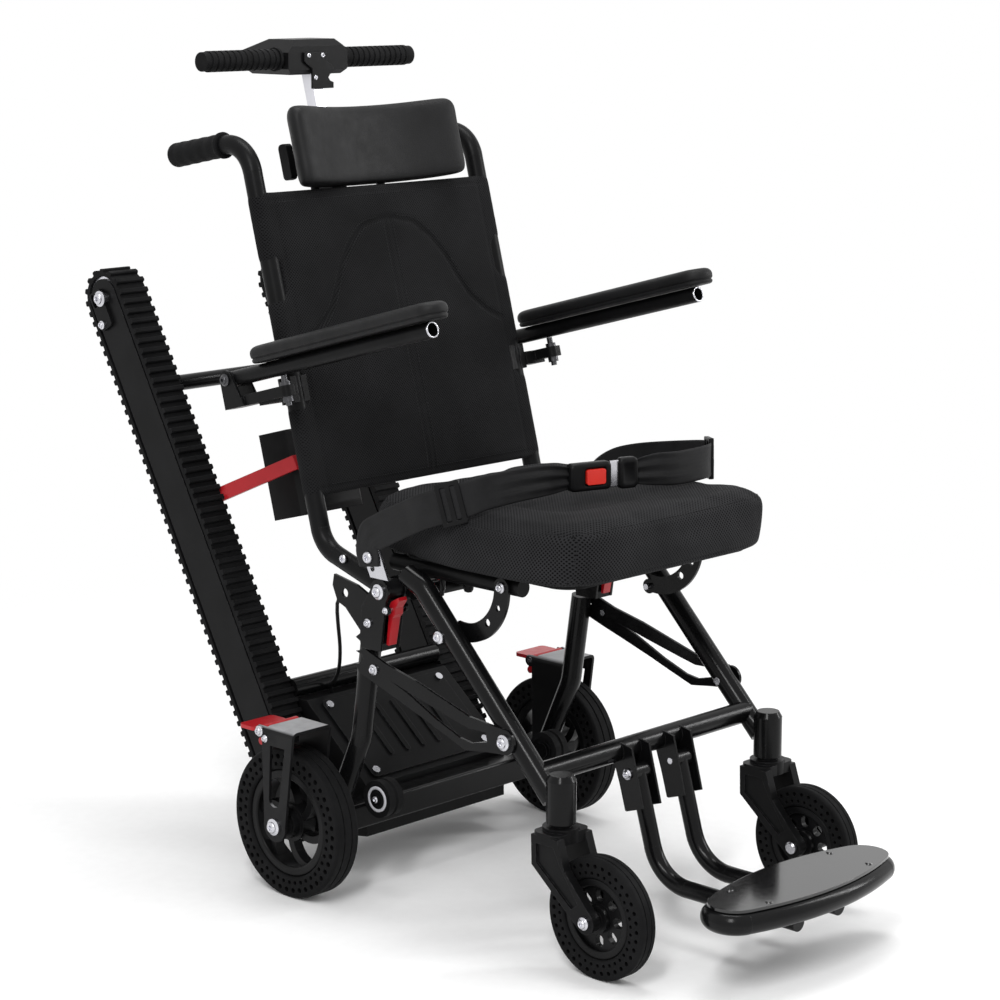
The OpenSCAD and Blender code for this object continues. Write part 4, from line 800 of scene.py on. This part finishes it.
HEAD_REAR, HEAD_FOOT = -21, 402.0
HEAD_HALF, HEAD_THICK = 148, 36
WING_OUT = 44  # how far the ends curve forward
HEAD_ROWS = (  # inset and height of each ring
    (14, 0.2), (9, 0.4), (5, 1.4), (2.4, 3.6), (0.8, 8), (0, 16), (0.4, 30), (0.6, 52), (0.4, 76),
    (0, 88), (1, 94.5), (3, 99), (6, 102.4), (10, 104.2), (14, 104.8))


def wing(x):
    return WING_OUT * (abs(x) / HEAD_HALF) ** 2.2


def head_ring(inset, height):
    n = 40
    front, rear = [], []
    for i in range(n + 1):
        u = math.sin(math.pi / 2 * (-1 + 2 * i / n))
        x = (HEAD_HALF - inset) * u
        half = ((HEAD_THICK - 2 * inset) / 2 + 0.22 * wing(x)) * math.sqrt(max(0.0, 1 - abs(u) ** 6))
        mid = HEAD_REAR + HEAD_THICK / 2 + 0.78 * wing(x)
        front.append(back_point(x, mid + half, HEAD_FOOT + height))
        if 0 < i < n:
            rear.append(back_point(x, mid - half, HEAD_FOOT + height))
    return front + rear[::-1]


def strip_cap(first, half):
    """Faces that close a ring, from its front across to its rear."""
    def rear(i):
        return first + (2 * half - i) % (2 * half)

    strip = [(first + i, first + i + 1, rear(i + 1), rear(i)) for i in range(1, half - 1)]
    return strip + [(first, first + 1, rear(1)), (first + half - 1, first + half, rear(half - 1))]


rings = [head_ring(*row) for row in HEAD_ROWS]
verts, faces = loft(rings, cap=False)
for first in (0, len(verts) - len(rings[0])):
    faces += strip_cap(first, len(rings[0]) // 2)
headrest = add("headrest_cushion", verts, faces, "headrest", "black_leather")
facing_out(headrest)
subsurf(headrest, 2)
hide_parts("headrest_pad")

# Armrest pads

PAD_MID, PAD_HALF, PAD_R, PAD_FOOT = 166, 175, 23.5, 182.9
PAD_ROWS = (  # inset, height and fall of the ends of each ring
    (9, 0.2, 0), (4, 0.2, 0), (2.2, 1.2, 0), (1.4, 3, 0), (1.2, 5, 0), (2.6, 5.9, 0), (2.6, 6.7, 0),
    (0.9, 7.6, 0), (0.3, 9.4, 0), (0, 13, 0.3), (0.5, 16.4, 0.8), (2, 19.4, 1.2), (4.6, 21.8, 1.6),
    (8.6, 23.2, 1.8), (14, 23.9, 1.8))


def pad_ring(side, inset, height, fall):
    n = 28
    r, straight = PAD_R - inset, PAD_HALF - PAD_R
    out = []
    for i in range(2 * n):
        a = math.pi * (i + 0.5) / n
        end = straight if math.sin(a) > 0 else -straight
        f = PAD_MID + end + r * math.sin(a)
        t = PAD_FOOT + height - fall * (abs(f - PAD_MID) / PAD_HALF) ** 4
        out.append(back_point(side * (ARM_X + r * math.cos(a)), f, t))
    return out if side < 0 else out[::-1]


for side, tag in SIDES:
    shape = loft([pad_ring(side, *row) for row in PAD_ROWS])
    pad = add("arm_cushion_" + tag, *shape, "arm_" + tag, "black_leather")
    subsurf(pad, 1)
    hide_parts("arm_pad_" + tag)

# Lap belt

STRAP_X, STRAP_WIDE, STRAP_THICK = 221.5, 44, 1.9
BUCKLE, TURN = Vector((-14, -170, 564)), math.radians(-17)
BELT_RUN = Vector((math.cos(TURN), math.sin(TURN), 0))
BELT_OUT = Vector((math.sin(TURN), -math.cos(TURN), 0))


def buckle_point(x, y, z):
    """A point of the buckle: along the belt, out towards the front, up, in mm."""
    return point(*(BUCKLE + BELT_RUN * x + BELT_OUT * y + Vector((0, 0, z))))


def beside_buckle(k):
    return tuple(BUCKLE + BELT_RUN * k)


def sweep(keys, n):
    """A smooth line through rows of numbers, n samples a span."""
    k = np.vstack([2 * keys[0] - keys[1], keys, 2 * keys[-1] - keys[-2]])
    out = [between(*k[i - 1:i + 3], t) for i in range(1, len(k) - 2) for t in np.arange(n) / n]
    return np.array(out + [k[-2]])


def strap(name, rows):
    """Webbing through rows of centre, run, side (0: upright on edge), width and fold depth, in mm."""
    across = 17
    keys = []
    for c, d, side, w, fold in rows:
        d = Vector(d).normalized()
        n = Vector((side, 0, 0)) if side else d.cross(Vector((0, 0, 1))).normalized()
        keys.append([*c, *(n.cross(d).normalized() * (w / 2)), fold])
    q = sweep(np.array(keys, float), 12)
    c, a, fold = q[:, :3], q[:, 3:6], q[:, 6]
    run = np.gradient(c, axis=0)
    nrm = np.cross(a, run)
    nrm /= np.linalg.norm(nrm, axis=1, keepdims=True)
    dist = np.concatenate([[0], np.cumsum(np.linalg.norm(np.diff(c, axis=0), axis=1))])
    u = np.linspace(-1, 1, across)
    edge = np.where(np.abs(u) > 0.99, 0.45, np.where(np.abs(u) > 0.8, 1.12, 1.0))
    half = STRAP_THICK / 2 * edge
    rings, uv = [], []
    for i in range(len(q)):
        wave = fold[i] * np.cos(2.6 * math.pi * u + 0.6) + 0.5 * (1 - u ** 2)
        ring = []
        for k, order in ((1, range(across)), (-1, range(across - 1, -1, -1))):
            for j in order:
                ring.append(point(*(c[i] + a[i] * u[j] + nrm[i] * (wave[j] + k * half[j]))))
                uv.append(((u[j] + 1) / 2 * (STRAP_WIDE / MM), dist[i] / MM))
        rings.append(ring)
    o = add(name, *loft(rings), "chassis", "webbing", uv=uv)
    return o, c, a, run, nrm


near_rows = [
    ((-STRAP_X, 14, 452), (0, 0.15, 1), -1, 36, 0),
    ((-STRAP_X, 18, 474), (0, 0.1, 1), -1, 40, 0),
    ((-STRAP_X, 12, 490), (0, -0.6, 0.7), -1, STRAP_WIDE, 0.5),
    ((-STRAP_X, -8, 502), (0, -1, 0.45), -1, STRAP_WIDE, 0.4),
    ((-STRAP_X, -50, 522), (0, -1, 0.4), -1, STRAP_WIDE, 0),
    ((-STRAP_X + 2, -84, 537), (0.3, -1, 0.3), 0, STRAP_WIDE, 0),
    ((-STRAP_X + 26, -128, 553), (0.55, -0.9, 0.25), 0, STRAP_WIDE, 0),
    ((-170, -146, 562), (1, -0.25, 0.05), 0, STRAP_WIDE, 0),
    ((-120, -148, 564), (1, -0.1, 0), 0, 43, 0.5),
    (beside_buckle(-60), BELT_RUN, 0, 39, 1.3),
    (beside_buckle(-29), BELT_RUN, 0, 29, 2.2)]
far_rows = [
    (beside_buckle(69), BELT_RUN, 0, 33, 1.6),
    (beside_buckle(100), BELT_RUN, 0, 42, 0.8),
    ((120, -207, 562), (1, -0.02, 0), 0, STRAP_WIDE, 0.2),
    ((180, -203, 562), (1, 0.25, 0), 0, STRAP_WIDE, 0),
    ((STRAP_X - 10, -178, 560), (0.4, 1, -0.05), 0, STRAP_WIDE, 0),
    ((STRAP_X, -140, 555), (0, 1, -0.12), 1, STRAP_WIDE, 0),
    ((STRAP_X, -50, 540), (0, 1, -0.22), 1, STRAP_WIDE, 0),
    ((STRAP_X, 0, 524), (0, 1, -0.35), 1, STRAP_WIDE, 0),
    ((STRAP_X, 22, 506), (0, 0.5, -0.8), 1, STRAP_WIDE, 0.4),
    ((STRAP_X, 22, 484), (0, -0.2, -1), 1, 40, 0),
    ((STRAP_X, 14, 452), (0, -0.15, -1), 1, 36, 0)]
near_strap = strap("strap_near", near_rows)
far_strap = strap("strap_far", far_rows)
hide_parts("lap_belt")


def buckle_moulding(name, rows):
    """Rounded outlines stacked outwards: rows of depth, width, height, corner and offset."""
    rings = [[buckle_point(x, y, z) for x, z in rounded_outline(w, h, r, cx)] for y, w, h, r, cx in rows]
    o = add(name, *loft(rings), "chassis", "black_plastic")
    soften(o)
    return o


shell = buckle_moulding("buckle_shell", (
    (-8, 52, 28, 4, 0), (-7.6, 56, 32, 5, 0), (-6.4, 59, 35, 5.6, 0), (-4, 60, 36, 6, 0),
    (3, 60, 36, 6, 0), (5.4, 59.4, 35.4, 6, 0), (7, 57.6, 33.6, 5.4, 0), (7.8, 55, 31, 5, 0),
    (8, 52, 28, 4.4, 0.4), (8.1, 33.4, 25.4, 4.4, 6), (7.8, 31.4, 23.4, 4, 6),
    (6.6, 29.6, 21.6, 3.6, 6), (0.6, 28.8, 20.8, 3.2, 6)))
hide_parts("belt_buckle")
buckle_moulding("tongue_cover", (
    (-5.6, 22, 34, 5, 56), (-5.2, 25, 37, 5.6, 56), (-4, 27, 39.4, 6.2, 56), (0, 28, 40.4, 6.6, 56),
    (4.6, 27.4, 39.8, 6.4, 56), (6.4, 25.6, 38, 6, 56), (7.2, 22.6, 35, 5, 56), (7.3, 18, 26, 4.4, 56),
    (6.8, 16.6, 24.6, 4, 56)))


def slider(name, at, along, across, out):
    """Adjuster of three bars and two sides, moulded round."""
    wide, long = 53, 32
    at, along, across, out = Vector(at), *(Vector(d).normalized() for d in (along, across, out))

    def place(x, y, z):
        return (at + along * x + across * y + out * z) / MM - Vector((0, MID / MM, 0))

    bars = [(x, 0, 3.2, wide / 2) for x in (-long / 2 + 3, 0, long / 2 - 3)]
    bars += [(0, k * (wide / 2 - 2), long / 2, 2.8) for k in (-1, 1)]
    shapes = []
    for x, y, hx, hy in bars:
        corners = ((hx, hy), (-hx, hy), (-hx, -hy), (hx, -hy))
        shapes.append(loft([[place(x + a, y + b, 0.8 + k * 3.4) for a, b in corners] for k in (-1, 1)]))
    o = remeshed(name, *joined(shapes), voxel=0.0008)
    relax(o.data, times=5)
    dress(o, "chassis", "black_plastic")


for name, (_, c, a, run, nrm), i in (("slider_near", near_strap, 68), ("slider_far", far_strap, 46)):
    slider(name, c[i], run[i], a[i], nrm[i])

# Bolt heads: domed caps with a hexagon socket on every flat head

DOME_ROWS = (  # radius and height in radii, and whether the ring is a hexagon
    (1.0, -0.03, 0), (1.0, 0.06, 0), (0.95, 0.22, 0), (0.84, 0.36, 0), (0.7, 0.44, 0), (0.52, 0.47, 1),
    (0.47, 0.43, 1), (0.46, 0.02, 1))
BOLT_SMALLEST, BOLT_LARGEST = 0.0024, 0.009  # radius of a flat head, metres
BOLT_ROUND = 0.08  # how far its area may be off a circle's, as a share


def dome(at, axis, r):
    n = 24
    axis, u, w = cross_axes(axis)
    turns = [2 * math.pi * i / n for i in range(n)]
    rings = []
    for k, h, six in DOME_ROWS:
        ring = []
        for t in turns:
            hexagon = math.cos(math.pi / 6) / math.cos(t % (math.pi / 3) - math.pi / 6)
            q = r * k * (hexagon if six else 1)
            ring.append(at + (u * math.cos(t) + w * math.sin(t)) * q + axis * (r * h))
        rings.append(ring)
    return loft(rings)


def bolt_heads(name, heads, body, look=None):
    """One piece of domed heads: rows of centre, direction and radius, in metres."""
    o = add(name, *joined(dome(*head) for head in heads), body, "bright_steel", look=look)
    soften(o, 50)


def flat_discs(node):
    """Centre, side and radius of each flat round face of a node that looks along X."""
    me = CAD_NODES[node].data
    key = {}
    ids = [key.setdefault(tuple(round(c * 1e5) for c in v.co), len(key)) for v in me.vertices]
    parent = list(range(len(key)))

    def root(i):
        while parent[i] != i:
            parent[i] = parent[parent[i]]
            i = parent[i]
        return i

    flat = [q for q in me.polygons if abs(q.normal.x) > 0.999]
    for q in flat:
        first = root(ids[q.vertices[0]])
        for v in q.vertices:
            parent[root(ids[v])] = first
    groups = {}
    for q in flat:
        groups.setdefault((root(ids[q.vertices[0]]), q.normal.x > 0), []).append(q)
    out = []
    for (_, plus), qs in groups.items():
        area = sum(q.area for q in qs)
        c = sum((q.center * q.area for q in qs), Vector()) / area
        r = max((me.vertices[v].co - c).length for q in qs for v in q.vertices)
        is_round = abs(area / (math.pi * r * r) - 1) < BOLT_ROUND
        if BOLT_SMALLEST < r < BOLT_LARGEST and is_round:
            out.append((c, 1 if plus else -1, r))
    return out


for node, body, look in (("frame_fasteners", "chassis", None), ("back_fasteners", "back", "dark_steel"),
                         ("caster_pins_right", "caster_right", None),
                         ("caster_pins_left", "caster_left", None)):
    heads = [(c, (side, 0, 0), r) for c, side, r in flat_discs(node) if side * c.x > 0]
    if heads:
        bolt_heads("bolt_domes_" + body, heads, body, look)

# Bracket plate under the control box, with its hook notch and three screws

PLATE_REAR, PLATE_FRONT = 340.8, 337.6
outline = ((-28, 1080), (-28, 1068), (-24, 1064), (-14, 1058), (-14, 1031), (25, 1031), (25, 1039),
           (19, 1041), (15.5, 1045.5), (19, 1050), (25, 1052), (25, 1058), (21, 1063), (13, 1067),
           (13, 1080))
shape = loft([[point(x, y, z) for x, z in outline] for y in (PLATE_REAR, PLATE_FRONT)])
plate = add("handle_bracket", *shape, "handle", "black_plastic", smooth=False)
edges = plate.modifiers.new("edges", "BEVEL")
edges.width = 0.0006
edges.segments = 2
edges.limit_method = "ANGLE"
bolt_heads("handle_screws", [(point(x, PLATE_FRONT, z), (0, -1, 0), 0.0034)
                             for x, z in ((-20, 1075.6), (5, 1075.4), (-8, 1045.8))], "handle")

# Bare ends of the armrest tubes


def lathe(name, at, axis, rows, body, slot, n=40, closed=False, look=None):
    """A turned shape, or a ring if closed: rows of distance along the axis and radius, in mm."""
    axis, u, w = cross_axes(axis)
    turns = [2 * math.pi * i / n for i in range(n)]
    rings = [[at + (u * math.cos(t) + w * math.sin(t)) * (r / MM) + axis * (h / MM) for t in turns]
             for h, r in rows]
    if closed:
        verts, faces = loft(rings + rings[:1], cap=False)
        count = len(rings) * n
        verts, faces = verts[:count], [tuple(i % count for i in q) for q in faces]
    else:
        verts, faces = loft(rings)
    return add(name, verts, faces, body, slot, look=look)


arm_dir = back_point(0, 1, 0) - back_point(0, 0, 0)
for side, tag in SIDES:
    lathe("arm_ring_" + tag, back_point(side * ARM_X, 317, 172), arm_dir,
          [(0.05, 10.4), (0.9, 10.3), (1.5, 9.6), (1.5, 8.7), (0.9, 8.1), (0.05, 8.0)],
          "arm_" + tag, "bright_steel", closed=True)

# Belt anchor bolts, bolts through the bent ends of the back tubes, guide roller rings and screws

TUBE_END = (68.6, 452.7)  # y and z
COLLAR_X, TUBE_BOLT_X = 213, 216.2
bolt_heads("anchor_bolts", [(point(side * (STRAP_X + 1.2), 15.6, 463.6), (side, 0, 0), 0.0078)
                            for side, _ in SIDES], "chassis")
bolt_heads("tube_bolts", [(point(side * TUBE_BOLT_X, *TUBE_END), (side, 0, 0), 0.0056)
                          for side, _ in SIDES], "back")
for side, tag in SIDES:
    lathe("tube_collar_" + tag, point(side * COLLAR_X, *TUBE_END), (side, 0, 0),
          [(0, 6.4), (2.6, 6.4), (3.2, 6)], "back", "frame_black")
heads = []
for side, tag in SIDES:
    lo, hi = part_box("guide_roller_" + tag)
    end = (Vector(lo) + Vector(hi)) / 2
    end.x = lo[0] if side < 0 else hi[0]
    lathe("roller_ring_" + tag, end, (side, 0, 0),
          [(-2.3, 13.3), (-2.3, 17.2), (0.1, 17.2), (0.5, 16.8), (0.5, 13.7), (0.1, 13.3)],
          "guide_" + tag, "black_plastic", closed=True, look="pale_ring")
    heads.append((end + Vector((side * 0.003, 0, 0)), (side, 0, 0), 0.0046))
bolt_heads("roller_screws", heads, "chassis")

# Release bar under the seat with its red lip, knob and strut


def bar_across(name, half, y, z, w, h, slot):
    """A bar along X with rounded long edges and softened ends, in mm."""
    end, corner = 0.6, 1.2
    rings = []
    for x, i in ((-half, end), (-half + end, 0), (half - end, 0), (half, end)):
        rings.append([point(x, y + a, z + b) for a, b in rounded_outline(w - 2 * i, h - 2 * i, corner)])
    soften(add(name, *loft(rings), "chassis", slot))


bar_across("release_bar", 168, -45, 443, 7, 11, "frame_black")
bar_across("release_lip", 160, -47.5, 436.2, 3, 3.6, "signal_red")
lathe("release_knob", point(-100, -44.5, 438.5), (0, 0.12, -1),
      [(0, 3), (5, 3.2), (6, 5.6), (8, 6.4), (20, 7), (27, 6.6), (30, 5), (31, 2.5)],
      "chassis", "black_plastic")
lathe("release_strut", point(-150, -44.5, 438.5), (0, 0.05, -1),
      [(0, 3.6), (4, 4.6), (18, 4.6), (20, 3.4), (26, 3.2), (27, 2)],
      "chassis", "frame_black")

# Push grips: smooth rubber with a collar and shallow finger hollows

BEND_UP = 470  # where the tube turns back, along the tube
BEND_TO_GRIP = 0.044  # metres
GRIP_R, HOLLOW_DEEP, GRIP_FLARE = 15.2, 0.55, 0.5
COLLAR_LONG, HOLLOWS_LONG = 8, 84
HOLLOWS, HOLLOW_STEPS = 4, 36
bend = point(TUBE_X, BACK_Y + BEND_UP * LEAN_SIN, BACK_Z + BEND_UP * LEAN_COS)
grip_dir = (point(TUBE_X, 399, 948) - bend).normalized()
grip_at = bend + grip_dir * BEND_TO_GRIP
rows = [(0.4, 13.4), (0.4, 16.6), (1.2, 17.4), (4.6, 17.4), (5.8, 16.4), (COLLAR_LONG, GRIP_R)]
for i in range(1, HOLLOW_STEPS):
    hollow = HOLLOW_DEEP * (1 - math.cos(2 * math.pi * HOLLOWS * i / HOLLOW_STEPS)) * 0.5
    r = GRIP_R + hollow + GRIP_FLARE * i / HOLLOW_STEPS
    rows.append((COLLAR_LONG + HOLLOWS_LONG * i / HOLLOW_STEPS, r))
rows += [(93, 16.1), (98, 16.2), (100.6, 15.4), (102.2, 13.6), (102.8, 10), (102.8, 4)]
for side, tag in SIDES:
    at = Vector((side * grip_at.x, grip_at.y, grip_at.z))
    grip = lathe("push_grip_" + tag, at, grip_dir, rows, "back", "belt_rubber", n=48)
    if side < 0:
        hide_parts("push_grips")

# Floor: pale paper near the chair, plain white further off

FLOOR_HALF = 60  # metres
ft, fb = new_look("floor_paper")
place = coords(ft)
paper = ramp(ft, noise(ft, place, 60, 4), [(0.3, (0.93, 0.93, 0.93)), (0.7, (0.95, 0.95, 0.95))])
ft.links.new(paper, fb.inputs["Base Color"])
set_inputs(fb, {"Roughness": 0.9, "Specular IOR Level": 0.1})
far_off = new_node(ft, "ShaderNodeVectorMath", operation="LENGTH")
ft.links.new(place, far_off.inputs[0])
glow = new_node(ft, "ShaderNodeEmission")
glow.inputs["Strength"].default_value = 1.0
both = new_node(ft, "ShaderNodeMixShader")
fade = new_node(ft, "ShaderNodeMapRange", interpolation_type="SMOOTHSTEP")
set_inputs(fade, {"From Min": 0.7, "From Max": 2.0})
ft.links.new(far_off.outputs["Value"], fade.inputs["Value"])
ft.links.new(fade.outputs["Result"], both.inputs[0])
ft.links.new(fb.outputs[0], both.inputs[1])
ft.links.new(glow.outputs[0], both.inputs[2])
ft.links.new(both.outputs[0], ft.nodes["Material Output"].inputs["Surface"])
floor_mesh = bpy.data.meshes.new("floor")
corners = [(FLOOR_HALF * x, FLOOR_HALF * y, 0) for x, y in ((-1, -1), (1, -1), (1, 1), (-1, 1))]
floor_mesh.from_pydata(corners, [], [(0, 1, 2, 3)])
floor_mesh.materials.append(LOOK["floor_paper"])
floor = bpy.data.objects.new("floor", floor_mesh)
scene.collection.objects.link(floor)
